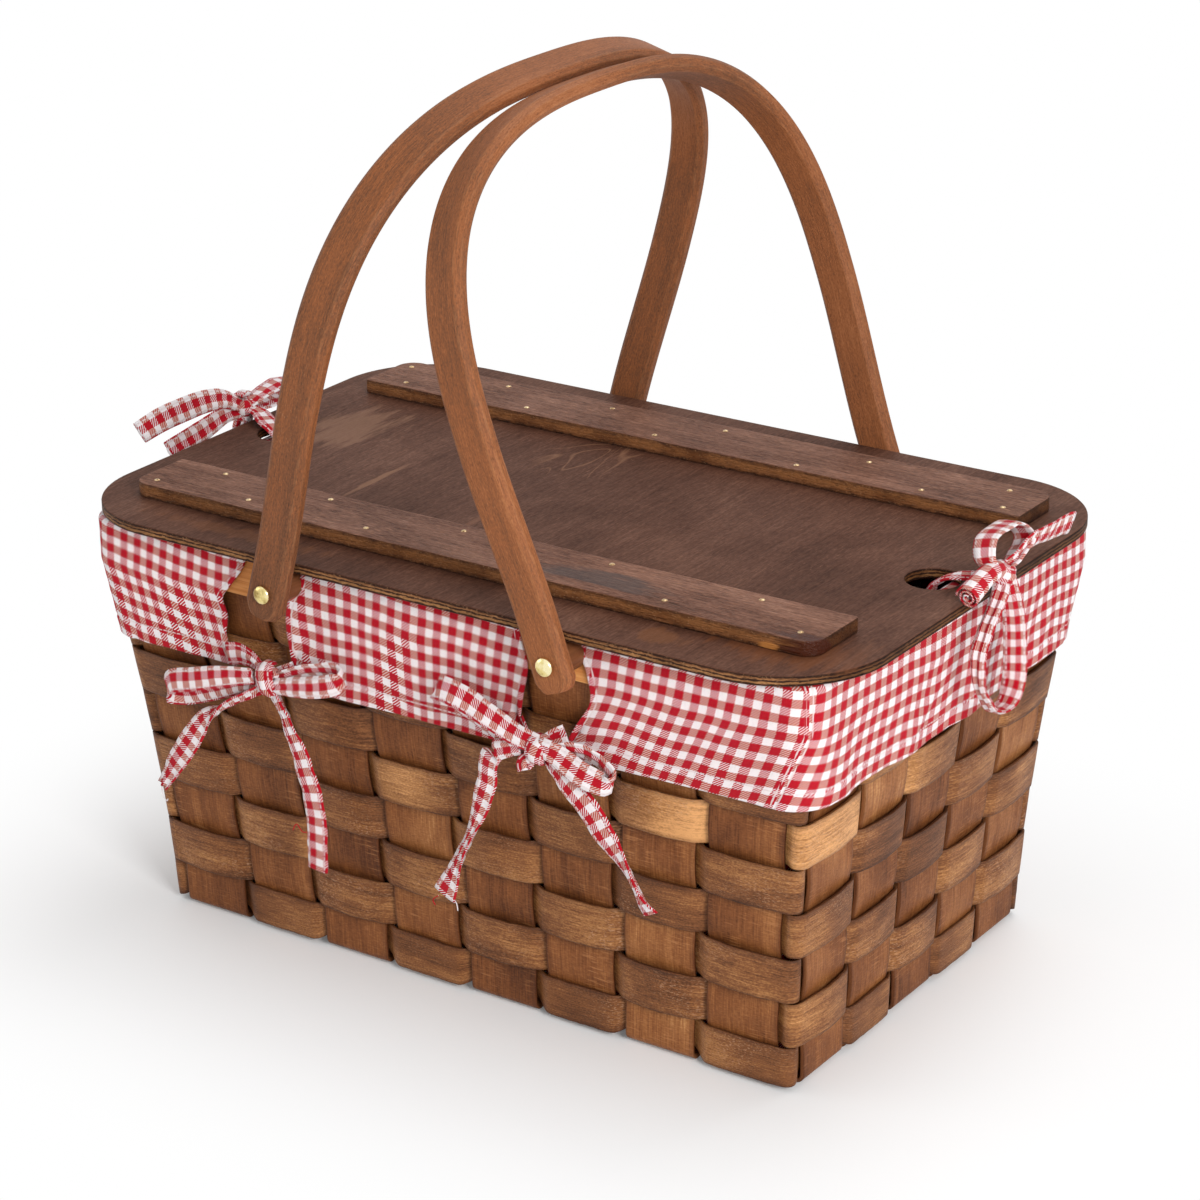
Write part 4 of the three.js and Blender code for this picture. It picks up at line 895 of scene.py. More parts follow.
def battenPiece(name, face, node):
    # A board as a stack of rings: a rectangle whose outer corners are quarter circles and whose inner ones
    # are nearly square, drawn in along its normal towards the eased edges
    b = batten
    x, y, nx, ny = [], [], [], []
    middles = ((1, b["outer"], b["outerCorner"], 0), (1, b["inner"], b["innerCorner"], 1),
               (-1, b["inner"], b["innerCorner"], 2), (-1, b["outer"], b["outerCorner"], 3))
    for k, (end, side, r, quarter) in enumerate(middles):
        centre = (end * (b["half"] - r), side - r if side > 90 else side + r)
        a = math.pi / 2 * (1 - quarter) - np.linspace(0, math.pi / 2, 9)
        x.append(centre[0] + r * np.cos(a))
        y.append(centre[1] + r * np.sin(a))
        nx.append(np.cos(a))
        ny.append(np.sin(a))
        if k % 2:
            edge = np.linspace(x[-1][-1], -x[-1][-1], 62)[1:-1]
            x.append(edge)
            y.append(np.full(len(edge), y[-1][-1]))
            nx.append(np.zeros(len(edge)))
            ny.append(np.full(len(edge), ny[-1][-1]))
    x, y, nx, ny = (np.concatenate(v) for v in (x, y, nx, ny))
    high = b["high"]
    levels = np.array([(0.5, b["low"]), (0.1, b["low"] + 0.1), (0, b["low"] + 0.5), (0, b["low"] + 2.5),
                       (0, high - 2.5), (0, high - 0.7), (0.08, high - 0.35), (0.25, high - 0.12),
                       (0.55, high - 0.02), (1.2, high)])
    inset = levels[:, :1] + b["ragged"] * (1 + noiseAlong(x + 3 * y, 5, 31 + face)) * (levels[:, 1:] < high)
    points = np.stack([x - nx * inset, face * (y - ny * inset), levels[:, 1:] + 0 * x], -1)
    obj = gridPiece(name, [{"points": points, "uv": np.zeros((len(levels), len(x) + 1, 2)), "closeCols": True,
                            "capEnds": True}], "lid", finishes["batten"])
    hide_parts(node)


battenPiece("battenFront", -1, "lid_batten_front")
battenPiece("battenBack", 1, "lid_batten_back")

# Small brads along each batten: places along X in the row nearer the middle and in the outer row
brads = {
    "radius": 1.55, "height": 0.9, "inner": 79.0, "outer": 101.0, "stray": 1.2, "sunk": 0.35,
    "back": ([-167, -92, -15, 66, 133, 176], [-180, -119, -55, 11, 93, 168]),
    "front": ([-156, -92, -15, 65, 143], [-178, -124, -55, 27, 108, 176]),
}


def bradPiece(name, face):
    # Domes of (radius cos, height sin) set in the batten's top, each a little off its line.
    b = brads
    rise = np.linspace(0, math.pi / 2, 5)
    turn = np.linspace(0, 2 * math.pi, 14, endpoint=False)
    sheets = []
    for row, places in zip(("inner", "outer"), b["back" if face > 0 else "front"]):
        for x in places:
            y = face * (b[row] + rng.uniform(-b["stray"], b["stray"]))
            middle = np.array([x, y, batten["high"] - b["sunk"]])
            wide = b["radius"] * np.cos(rise)
            wide[-1] = 0.02
            points = np.stack([wide[:, None] * np.cos(turn), wide[:, None] * np.sin(turn),
                               (b["height"] * np.sin(rise))[:, None] + 0 * turn[None]], -1) + middle
            points = np.concatenate([points[:1] - np.array([0, 0, 0.3]), points])
            uv = np.zeros((6, 15, 2))
            sheets.append({"points": points, "uv": uv, "closeCols": True, "capEnds": True})
    gridPiece(name, sheets, "lid", finishes["brad"])


bradPiece("bradsFront", -1)
bradPiece("bradsBack", 1)

grip = {
    "pivotX": 77.5, "pivotZ": 197.7, "width": 20.0, "thick": 8.5, "chamfer": 2.4, "ease": 1.5,
    "legY": 144.05, "fullY": 149.05, "legRise": 102.0, "rise": 227.0, "fullness": 2.66,
    "end": 12.5, "tip": 11.0, "shoulder": 7.2, "straight": 16.0, "leanLeft": 15.4, "leanRight": 19.1,
    "leftToneAndShade": (0.02, 0.17, 150.0), "rightTone": 0.03,
}


def handlePiece(side):
    # A bar with eased chamfers along a horseshoe: legs that spread by a smooth step, a superellipse
    # crown. Its foot narrows by the root of the distance from its end. It leans about its pivot.
    g = grip
    foot = -g["end"] + np.linspace(0, 1, 26) ** 2 * (g["straight"] + g["end"])
    up = np.concatenate([foot, np.linspace(g["straight"], g["legRise"], 34)[1:]])
    share = np.clip((up - g["straight"]) / (g["legRise"] - g["straight"]), 0, 1)
    y = g["legY"] + (g["fullY"] - g["legY"]) * share * share * (3 - 2 * share)
    t = np.linspace(0, math.pi, 141)[1:-1]
    power = 2 / g["fullness"]
    crownY = g["fullY"] * np.sign(np.cos(t)) * np.abs(np.cos(t)) ** power
    crownZ = g["legRise"] + (g["rise"] - g["legRise"]) * np.sin(t) ** power
    path = np.concatenate([np.stack([y, up], 1), np.stack([crownY, crownZ], 1),
                           np.stack([-y[::-1], up[::-1]], 1)])
    way = tangents(path)
    run = runOf(path)
    rise = path[:, 1]
    taper = np.clip((rise + g["end"]) / (g["end"] - g["shoulder"]), 0, 1)
    half = (g["tip"] + (g["width"] - g["tip"]) * np.sqrt(taper)) / 2
    c, e = g["chamfer"], g["ease"]
    # a quarter of the section from the wide face to the narrow one: insets from both, and edge; t is how
    # far an arc between faces 45 degrees apart reaches along each of them
    t = 0.414 * e
    arc = np.linspace(0, math.pi / 4, 4)
    bend = [(c + t - e * math.sin(a), e * (1 - math.cos(a)), 1.0) for a in arc]
    quarter = [(6.0, 0, 0), (c + t + 0.5, 0, 0.0)] + bend + [(c - 0.5, 0.5, 0.1), (0.5, c - 0.5, 0.1)]
    quarter += [(b, a, d) for a, b, d in bend[::-1]] + [(0, c + t + 0.3, 0.0)]
    outline = []
    for sx, sy in ((1, -1), (1, 1), (-1, 1), (-1, -1)):
        pair = [(sx, sy, a, b, d) for a, b, d in quarter]
        outline += pair if sx * sy < 0 else pair[::-1]
    o = np.array(outline)
    x = o[:, 0] * (half[:, None] - o[:, 2])
    thick = o[:, 1] * (g["thick"] / 2 - o[:, 3])
    points = np.stack([x, path[:, :1] - way[:, 1:] * thick, path[:, 1:] + way[:, :1] * thick], -1)
    lean = math.radians(g["leanLeft"] if side < 0 else -g["leanRight"])
    turned = points.copy()
    turned[..., 0] = points[..., 0] * math.cos(lean) + points[..., 2] * math.sin(lean)
    turned[..., 2] = -points[..., 0] * math.sin(lean) + points[..., 2] * math.cos(lean)
    turned += np.array([side * g["pivotX"], 0, g["pivotZ"]])
    around = outlineRun(np.stack([o[:, 0] * (g["width"] / 2 - o[:, 2]), thick], 1))
    u = run[:, None] * np.ones(len(around))
    v = np.broadcast_to(around, u.shape)
    # painted shade: the left handle's front leg is darker towards its foot
    dark = g["rightTone"]
    if side < 0:
        least, more, reach = g["leftToneAndShade"]
        dark = least + more * np.exp(-((run[-1] - run) / reach) ** 2)
    tone = 0.06 * noiseAlong(run, 120, 70 + side) - dark
    return {"points": turned, "uv": np.stack([u, v], -1), "closeCols": True, "capEnds": True,
            "values": {"seed": 9.0 + 4 * side, "tone": tone[:, None], "edge": o[:, 4]}}


for side, name in ((-1, "left"), (1, "right")):
    bar = gridPiece(f"handleBar_{name}", [handlePiece(side)], f"handle_{name}",
                    finishes["handle"])
    bar.data.set_sharp_from_angle(angle=math.radians(60))
    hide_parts(f"handle_{name}")
print("handles bent")

rivet = {
    "shank": 2.0, "head": 4.45, "height": 2.6, "seat": 148.6, "tail": 3.2, "tailHeight": 1.0,
    "washer": 5.5, "washerThick": 1.2, "spacer": 7.5, "spacerEnd": 139.5, "hole": 2.3, "rimHalf": 5.2,
    "play": 0.3, "washerEase": 0.2, "spacerEase": 0.3,
}


def lathePiece(name, profile, pivot, face, body, material, node):
    # A profile of (radius, distance from the middle along Y) spun about the pivot's axis.
    p = np.array(profile, float)
    turn = np.linspace(0, 2 * math.pi, 48, endpoint=False)
    ring = np.stack([np.cos(turn), np.zeros(48), np.sin(turn)], 1)
    points = p[:, None, :1] * ring[None] + np.array([0, face, 0]) * p[:, None, 1:]
    points += np.array([pivot, 0, grip["pivotZ"]])
    u = np.linspace(0, 2 * math.pi, 49)[None, :] * 5 + 0 * p[:, :1]
    v = runOf(p)[:, None] + 0 * u
    closed = abs(p[0] - p[-1]).sum() < 1e-6
    if closed:
        points = points[:-1]
    sheet = {"points": points, "uv": np.stack([u, v], -1), "closeCols": True, "closeRows": closed}
    obj = gridPiece(name, [sheet], body, material)
    obj.data.set_sharp_from_angle(angle=math.radians(40))
    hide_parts(node)


for end, pivot in (("left", -grip["pivotX"]), ("right", grip["pivotX"])):
    for wallName, face in (("front", -1), ("back", 1)):
        r = rivet
        place = f"{end}_{wallName}"
        wall = weave["mouth"][1]
        seat = wall - r["rimHalf"] - r["play"]
        under = seat - r["washerThick"]
        tail = under - r["play"]
        head, high = r["head"], r["seat"] + r["height"]
        bulge = np.linspace(0, math.pi / 2, 9)
        dome = [(head * math.cos(a) ** 0.8, r["seat"] + 0.7 + (r["height"] - 0.7) * math.sin(a))
                for a in bulge[:-1]] + [(0.001, high)]
        back = [(0.001, tail - r["tailHeight"]), (0.5 * r["tail"], tail - 0.9 * r["tailHeight"]),
                (0.85 * r["tail"], tail - 0.6 * r["tailHeight"]), (r["tail"], tail - 0.15), (r["tail"], tail)]
        shank = [(r["shank"], tail), (r["shank"], r["seat"]), (head - 0.15, r["seat"]),
                 (head, r["seat"] + 0.15)]
        lathePiece(f"rivetHead_{place}", back + shank + dome, pivot, face, "basket",
                   finishes["brass"], f"rivet_{place}")
        ease = r["washerEase"]
        edge = r["washer"] - ease
        washer = [(r["hole"], under), (edge, under), (r["washer"], under + ease),
                  (r["washer"], seat - ease), (edge, seat), (r["hole"], seat), (r["hole"], under)]
        lathePiece(f"rivetWasher_{place}", washer, pivot, face, "basket", finishes["brass"],
                   f"rivet_washer_{place}")
        ease = r["spacerEase"]
        low, high, edge = wall + r["rimHalf"] + r["play"], r["spacerEnd"], r["spacer"] - ease
        spacer = [(r["hole"], low), (edge, low), (r["spacer"], low + ease), (r["spacer"], high - ease),
                  (edge, high), (r["hole"], high), (r["hole"], low)]
        lathePiece(f"legSpacer_{place}", spacer, pivot, face, "basket", finishes["spacer"],
                   f"handle_spacer_{place}")
print("rivets set")

skirt = {
    "thick": 0.9, "off": 5.95, "inwards": 4.4, "turn": 203.0, "hem": 145.3, "hemWave": 1.7,
    "rimCorner": 13.25, "hemCorner": 19.5, "wave": 1.7, "count": 13, "fold": 8.5, "seamWidth": 3.0,
    "pucker": 0.22, "drag": 1.2, "seamSlant": 13.0,
}
# The edges of the skirt's four openings, top to hem: height, then the place along X
openings = {
    "leftFront": ([(207, -104), (201, -103.5), (189, -112), (180, -118.5), (172.5, -117), (160, -119),
                   (152, -118.5), (142, -114)],
                  [(207, -70), (198, -71.5), (188.5, -78), (175.5, -81), (163, -80.5), (154, -79.5),
                   (142, -78)]),
    "rightFront": ([(207, 50), (197, 52), (186.5, 55), (169, 51), (155, 48.5), (142, 47)],
                   [(207, 78), (201.5, 80), (193.5, 85), (177.5, 87.5), (164, 79.5), (153, 74),
                    (142, 70)]),
    "leftBack": ([(207, -88), (196, -91), (182, -92), (168, -90), (156, -87), (142, -84)],
                 [(207, -66), (196, -64), (182, -63), (168, -62), (156, -61), (142, -62)]),
    "rightBack": ([(207, 68), (196, 65), (182, 63), (168, 61), (156, 59), (142, 60)],
                  [(207, 93), (196, 96), (182, 95), (168, 92), (156, 90), (142, 89)]),
}
# Where ties pull on the cloth: side, place along the side, height
pulls = [(0, -116, 155), (0, -80, 155), (0, 50, 153), (0, 76, 153),
         (2, 88, 155), (2, 62, 155), (2, -60, 155), (2, -90, 155)]
# Slanting creases on the ends, where the cloth hangs slack: place, height, slope, half width, rise
creases = [(-62, 172, 0.9, 9, 1.3), (-20, 168, 1.5, 7, 1.6), (38, 176, -1.2, 8, 1.2), (84, 168, 0.7, 9, 1.2)]
farGap = 99.0  # the distance in mm given where no hem, edge or tie is near
edgeColumns = (0.5, 1.2, 2.0, 2.8, 3.4, 4.2)  # extra columns beside a cut edge, mm in from it
# How far the checks lean from upright, by the distance round the ring from the front's middle
leans = [(-420, 0.0), (-300, 0.02), (-190, 0.1), (-122, 0.13), (-79, 0.02), (-20, 0.04), (48, 0.22),
         (88, 0.18), (150, 0.19), (180, 0.17), (210, 0.13), (240, 0.09), (300, 0.05), (420, 0.0)]
draws = [(-420, 1.0), (-260, 1.0), (-190, 1.0), (-120, 1.0), (-60, 1.03), (0, 1.05), (80, 1.03), (180, 1.04),
         (215, 1.15), (300, 1.15), (420, 1.0)]
# How far the rows of checks sink below level, by the same distance
sinks = [(-420, 0), (-200, 0), (-117, 12), (-79, 12), (50, 20), (210, 20), (420, 32)]


def skirtFold(side, run, half):
    # The hem's waves: how far out, a sine whose pace changes round the ring, and its slow rise and fall
    share = (side + (run / half + 1) / 2) / 4
    out = np.sin(share * skirt["count"] * 2 * math.pi + np.sin(share * 6 * math.pi))
    return out, np.cos(share * 8 * math.pi)


def openingEdge(name, which, z):
    # Where one edge of an opening is along X at height z, on a smooth curve through its points
    points = np.array(openings[name][which], float)
    curve = smoothCurve(np.stack([points[:, 1], points[:, 0], 0 * points[:, 0]], 1), 80)
    order = np.argsort(curve[:, 1])
    return np.interp(z, curve[order, 1], curve[order, 0])


def skirtPanel(start, end, uShift):
    # One flap: columns between two openings, rows from the rim's top to the hem. A point is the rim's
    # rounded rectangle at the row's offset, pushed out by waves that grow towards the hem, by creases
    # that run from the ties, and by small puckers at the hem's stitches and at the rolled edges.
    k = skirt
    mouth = np.array(weave["mouth"])
    straight = mouth + k["off"] - k["rimCorner"]
    sides, runs, turns = [], [], []
    side, place = start[0], start[1]
    while True:
        last = side == end[0] and not (side == start[0] and end[1] < start[1] and len(sides) == 0)
        stop = end[1] if last else straight[side % 2]
        count = max(int(abs(stop - place) / 1.4), 8)
        near = np.linspace(0, 1, count)
        x = place + (stop - place) * near
        ends = []
        if len(sides) == 0:
            ends = [place + d for d in edgeColumns]
        if last:
            ends += [stop - d for d in edgeColumns]
        x = np.unique(np.concatenate([x, ends]))
        if not last:
            x = x[:-1]
        sides.append(np.full(len(x), side))
        runs.append(x)
        turns.append(np.zeros(len(x)))
        if last:
            break
        t = np.linspace(0, math.pi / 2, 20, endpoint=False)
        sides.append(np.full(len(t), side))
        runs.append(np.full(len(t), straight[side % 2]))
        turns.append(t)
        side, place = (side + 1) % 4, -straight[(side + 1) % 2]
    side, run, turn = (np.concatenate(v) for v in (sides, runs, turns))

    # rows: over the rim's top edge, then down to the hem
    bend = np.array([(-0.6, 206.0), (1.5, 206.05), (3.4, 206.0), (4.7, 205.6), (5.5, 204.8), (5.85, 203.9)])
    drop = np.concatenate([np.linspace(0, 0.8, 25), np.linspace(0.8, 0.9, 12)[1:],
                           np.linspace(0.9, 1, 8)[1:]])
    half = bySide(side, mouth[0], mouth[1])
    across = bySide(side, mouth[1], mouth[0])
    straightTop = bySide(side, straight[0], straight[1])
    ringRun = run + np.where(turn > 0, k["hemCorner"] * np.sin(turn), 0)
    out, lift = skirtFold(side, ringRun, half)
    hem = k["hem"] + k["hemWave"] * lift
    zHung = k["turn"] - (k["turn"] - hem)[None, :] * drop[:, None]
    z = np.concatenate([np.repeat(bend[:, 1:], len(run), 1), zHung])
    inwards = k["inwards"] * np.clip((rimLow - zHung) / (rimLow - k["hem"]), 0, 1)
    off = np.concatenate([np.repeat(bend[:, :1], len(run), 1), k["off"] - inwards])
    fromHem = z - hem[None, :]
    hung = np.clip((rimLow - z) / (rimLow - k["hem"]), 0, 1.15)
    corner = np.where(z > k["turn"], k["rimCorner"] + off - k["off"],
                      k["rimCorner"] + (k["hemCorner"] - k["rimCorner"]) * hung)
    straightNow = bySide(side, mouth[0], mouth[1])[None, :] + np.minimum(off, k["off"]) - corner
    x = run[None, :] * straightNow / straightTop[None, :]

    # the two cut edges, and how far each column follows them
    edgeGap = np.full(z.shape, farGap)
    for which, (edgeSide, edgeRun, edge, sign) in enumerate((
            (start[0], start[1], start[2], 1), (end[0], end[1], end[2], -1))):
        world = -1 if edgeSide == 2 else 1
        target = world * openingEdge(edge[0], edge[1], z[:, :1])
        here = x[:, 0 if which == 0 else -1][:, None]
        far = np.abs(run - edgeRun)[None, :]
        follows = np.cos(np.clip(far / 60, 0, 1) * math.pi / 2) ** 2
        weight = np.where((side == edgeSide) & (far < 60) & (turn == 0), follows, 0)
        x = x + (target - here) * weight
        on = (side == edgeSide)[None, :] & (turn == 0)[None, :]
        edgeGap = np.where(on, np.minimum(edgeGap, np.abs(x - target)), edgeGap)

    # U is the row's own length round the ring, counted from the flap's middle side, and V is the drop
    order = np.concatenate([[0], np.cumsum(np.diff(side) != 0)])
    sideLength = mouth.sum() + 2 * (np.minimum(off, k["off"]) - corner) + corner * math.pi / 2
    meanLength = float(sideLength[20, 0])
    middle = order[-1] // 2
    sideAt = (start[0] + middle) * meanLength - middle * sideLength
    u = sideAt + order * sideLength + np.where(turn > 0, straightNow + corner * turn, x)
    v = k["turn"] + 4 - z - (6 - np.minimum(off, 6)) * (z > k["turn"])
    # seams at the corners, slanting towards the hem: the gap is positive between a flap's two seams
    seamGap = np.full(z.shape, -farGap)
    if order[-1]:
        toSeam = straightNow + corner * math.pi / 4 - k["seamSlant"] * hung * (start[0] == 0)
        first = sideAt + toSeam[:, :1]
        second = sideAt + sideLength + toSeam[:, np.argmax(order == 1)][:, None]
        seamGap = np.minimum(u - first, second - u)
    full = 4 * meanLength
    fromFront = u - (full if u.mean() > 0.6 * full else 0)
    lean = np.interp(fromFront, *np.array(leans).T)
    ring = np.arange(-700, 701, 2.0)
    drawn = np.cumsum(2.0 / np.interp(ring, *np.array(draws).T))
    uLean = np.interp(fromFront, ring, drawn) + lean * (v - 4)
    uLean = uLean + 1.5 * noiseAlong(u + 0.5 * v, 26, 71, 1) * np.clip(v / 30, 0, 1)
    vLean = v + 2.1 * noiseAlong(u, 24, 72, 1) * np.clip(v / 40, 0, 1)
    vLean = vLean - np.interp(fromFront, *np.array(sinks).T)

    # outward pushes: the hem's waves with a noise, rays round each tie in a bell, creases as a bell across
    # and another along, wrinkles as two noises multiplied, then the hem's fold and the sewn edges
    push = k["wave"] * hung * out[None, :]
    push += 0.5 * hung * noiseAlong(u[0] + 7 * start[0], 21, 5 + start[0])[None, :]
    for pullSide, pullRun, pullZ in pulls:
        dx = np.where(side[None, :] == pullSide, x - pullRun, farGap)
        dz = z - pullZ
        r = np.hypot(dx, dz)
        angle = np.arctan2(dz, dx)
        push += k["drag"] * np.exp(-(r / 26) ** 2) * np.cos(8 * angle + pullRun) * np.clip(r / 7, 0, 1)
    for endSide in (1, 3):
        on = (side == endSide)[None, :] & (turn == 0)[None, :]
        for cy, cz, slope, wide, high in creases:
            d = ((x - cy) - slope * (z - cz)) / math.hypot(1, slope)
            along = ((x - cy) * slope + (z - cz)) / math.hypot(1, slope)
            crease = high * np.exp(-(d / wide) ** 2 * 3) * np.exp(-(along / 26) ** 2) * hung ** 0.5
            push += np.where(on, crease, 0)
    wrinkle = noiseAlong(u * 0.9 + 1.3 * z, 9, 21, 2) * noiseAlong(z + 0.4 * u, 13, 22, 2)
    push += 0.28 * wrinkle * np.clip((k["turn"] - z) / 10, 0, 1)
    hemFold = np.clip((k["fold"] - fromHem) / 1.2 + 0.5, 0, 1)
    push += 0.35 * hemFold - 0.5 * np.exp(-((fromHem - k["fold"]) / 0.7) ** 2)
    push += k["pucker"] * np.sin(u * 2 * math.pi / 4.4) * np.exp(-((fromHem - k["fold"]) / 3.0) ** 2)
    pastLine = edgeGap - k["seamWidth"]
    push += np.where(edgeGap < k["seamWidth"], 0.5, 0) - 0.45 * np.exp(-(pastLine / 0.6) ** 2)
    push += 0.3 * np.sin(z * 2 * math.pi / 4.1) * np.exp(-(pastLine / 2.2) ** 2)
    push -= 0.9 * np.exp(-(seamGap / 1.3) ** 2)
    push = np.where(z > k["turn"], 0, push)
    least = -0.1
    push = np.maximum(push, least) * np.clip((k["turn"] - z) / 2.5, 0, 1)

    offNow = off + push
    a = sideAlong[side][None, :, :]
    b = sideOut[side][None, :, :]
    xRun = np.where(turn[None, :] > 0, straightNow + (corner + push) * np.sin(turn)[None, :], x)
    yOut = np.where(turn[None, :] > 0, across[None, :] + np.minimum(off, k["off"]) - corner
                    + (corner + push) * np.cos(turn)[None, :], across[None, :] + offNow)
    xy = a * xRun[..., None] + b * yOut[..., None]
    points = np.concatenate([xy, z[..., None]], -1)
    return {"points": points, "uv": np.stack([uLean + uShift, vLean], -1), "flip": False, "values": {
        "hemGap": fromHem, "edgeGap": np.minimum(edgeGap, np.abs(seamGap) + 1.5), "along": u,
        "seamGap": seamGap}}, np.ptp(u[20])


flaps = {
    "skirtFrontMiddle": ((0, -79, ("leftFront", 1)), (0, 50, ("rightFront", 0)), 0.0),
    "skirtRightEnd": ((0, 86, ("rightFront", 1)), (2, -95, ("rightBack", 1)), 2.0),
    "skirtBackMiddle": ((2, -63, ("rightBack", 0)), (2, 63, ("leftBack", 1)), 1.0),
    "skirtLeftEnd": ((2, 91, ("leftBack", 0)), (0, -117, ("leftFront", 0)), 4.0),
}
for name, (start, end, uShift) in flaps.items():
    flapSheet, length = skirtPanel(start, end, uShift)
    flap = gridPiece(name, [flapSheet], "basket", finishes["cloth"])
    solid = flap.modifiers.new("clothThickness", "SOLIDIFY")
    solid.thickness, solid.offset = skirt["thick"] * milli, 0
    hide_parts("liner")


def liningPiece():
    # The cloth inside: from the rim's top over the inner band, down the walls in soft folds, and across
    # the base. A row is the wall's rounded rectangle moved inwards by the row's offset.
    mouth = np.array(weave["mouth"])
    stations = []
    for s in range(4):
        x = np.linspace(-1, 1, 60 if s % 2 == 0 else 40, endpoint=False)
        corner = np.linspace(0, math.pi / 2, 8, endpoint=False)
        stations.append((np.full(len(x) + 8, s), np.append(x, np.ones(8)), np.append(0 * x, corner)))
    side, q, turn = (np.concatenate(v) for v in zip(*stations))
    over = [(-0.2, 206.0), (-3.0, 206.0), (-6.0, 205.9), (-7.6, 205.2), (-8.5, 204.0), (-8.8, 202.0)]
    down = [(-8.9, z) for z in np.linspace(199, 12.5, 64)]
    bend = [(-9.3, 10.2), (-10.4, 8.4), (-12.4, 7.2), (-15, 6.9)]
    rows = np.array(over + down + bend)
    z = np.repeat(rows[:, 1:], len(side), 1)
    off = np.repeat(rows[:, :1], len(side), 1)
    zWall = np.clip(z, baseLevel, rimLow)
    reach = bySide(side, wallHalf(zWall, 0), wallHalf(zWall, 1))
    depth = bySide(side, wallHalf(zWall, 1), wallHalf(zWall, 0))
    run = q * reach
    waves = noiseAlong(run + 200 * side, 30, 77)
    waves = waves * np.clip((198 - z) / 60, 0, 1) * np.clip((z - 12) / 20, 0, 1)
    off = off - 1.4 * np.clip(0.5 + 0.5 * waves, 0, 1.4) * (rows[:, :1] < -8.6)
    r = 8.0
    xRun = np.where(turn > 0, reach + off - r + r * np.sin(turn), q * (reach + off - r))
    yOut = depth + off - r + r * np.cos(turn)
    xy = sideAlong[side][None] * xRun[..., None] + sideOut[side][None] * yOut[..., None]
    walls = np.concatenate([xy, z[..., None]], -1)
    around = np.concatenate([[0], np.cumsum(np.linalg.norm(np.diff(walls[30], axis=0), axis=1)), [0]])
    around[-1] = around[-2] + np.linalg.norm(walls[30, 0] - walls[30, -1])
    fall = runOf(rows)
    uv = np.stack(np.broadcast_arrays(around[None, :], fall[:, None]), -1)
    sheets = [{"points": walls, "uv": uv, "closeCols": True, "flip": True, "values": {
        "hemGap": farGap, "edgeGap": farGap, "along": z}}]
    shares = np.linspace(1, 0.04, 34)
    ring = walls[-1][None]
    floor = ring * np.stack([shares, shares, np.ones(34)], 1)[:, None, :]
    ripple = noiseAlong(floor[..., 0] + 0.4 * floor[..., 1], 26, 91) * noiseAlong(floor[..., 1], 31, 92)
    floor[..., 2] += np.clip(0.5 + ripple, 0, 1.2) * (1 - shares ** 6)[:, None]
    flat = np.concatenate([floor[..., :2], floor[:, :1, :2]], 1)
    sheets.append({"points": floor, "uv": flat, "closeCols": True, "flip": True, "values": {
        "hemGap": farGap, "edgeGap": farGap, "along": floor[..., 2]}})
    obj = gridPiece("lining", sheets, "basket", finishes["cloth"])
    solid = obj.modifiers.new("clothThickness", "SOLIDIFY")
    solid.thickness, solid.offset = skirt["thick"] * milli, 0
    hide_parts("liner")


liningPiece()
print("liner sewn")

tie = {"width": 12.0, "thick": 1.3, "stand": 134.6, "stepLength": 1.6}


def ribbon(points, across, widths, uStart=0.0, thick=None, cup=0.0, puff=0.25, shift=0.0, scale=1.0):
    # A tape along a smooth curve. Its width direction is blended between those given for the curve's
    # points and kept square to the curve. The section is a flat bar with round edges, cupped and puffed.
    p = np.asarray(points, float)
    rough = smoothCurve(p, 400)
    run = runOf(rough)
    near = np.array([run[np.argmin(np.linalg.norm(rough - q, axis=1))] for q in p])
    near = np.maximum.accumulate(near)
    near[0], near[-1] = 0, run[-1]
    count = max(int(run[-1] / tie["stepLength"]), 12)
    path = smoothCurve(p, count)
    at = runOf(path)
    at = at * run[-1] / at[-1]
    a = np.asarray(across, float)
    if a.ndim == 1:
        a = np.repeat(a[None], len(p), 0)
    a = np.stack([np.interp(at, near, a[:, d]) for d in range(3)], 1)
    kernel = np.exp(-0.5 * (np.arange(-6, 7) / 2.6) ** 2)
    kernel /= kernel.sum()
    a = np.stack([np.convolve(np.pad(a[:, d], 6, "edge"), kernel, "valid") for d in range(3)], 1)
    way = tangents(path)
    a = unit(a - (a * way).sum(1, keepdims=True) * way)
    up = np.cross(way, a)
    w = np.interp(at, near, np.broadcast_to(widths, len(p))) if np.ndim(widths) else np.full(len(at), widths)
    w = np.convolve(np.pad(w, 6, "edge"), kernel, "valid")
    t = thick or tie["thick"]
    outline = easedBar(2.0, t, t * 0.42, 2)
    share = outline[:, 0]
    x = share[None, :] * w[:, None] / 2
    y = outline[:, 1][None, :] + cup * (share ** 2)[None, :]
    gather = np.clip(1 - w / tie["width"], 0, 0.7)
    y = y + (gather * 3.4)[:, None] * np.cos(share * math.pi * 2.2)[None, :] * 0.5
    y = y + puff * (1 - share ** 4)[None, :] * np.sign(outline[:, 1])[None, :]
    y = y + 0.25 * np.sin(at / 3.1 + shift)[:, None] * share[None, :] ** 2
    y = y + 0.35 * noiseAlong(at, 9, int(shift * 10) + 3)[:, None]
    pts = path[:, None, :] + a[:, None, :] * x[..., None] + up[:, None, :] * y[..., None]
    u = (np.append(share, share[0]) * tie["width"] / 2)[None, :] / scale + uStart + 0 * at[:, None]
    v = at[:, None] + shift * 7 + 0 * u
    gap = (1 - np.abs(share)) * tie["width"] / 2
    return {"points": pts, "uv": np.stack([u, v], -1), "closeCols": True, "capEnds": True, "values": {
        "hemGap": farGap, "edgeGap": gap + 1.4, "along": at[:, None]},
        "area": float(w.mean() * at[-1])}


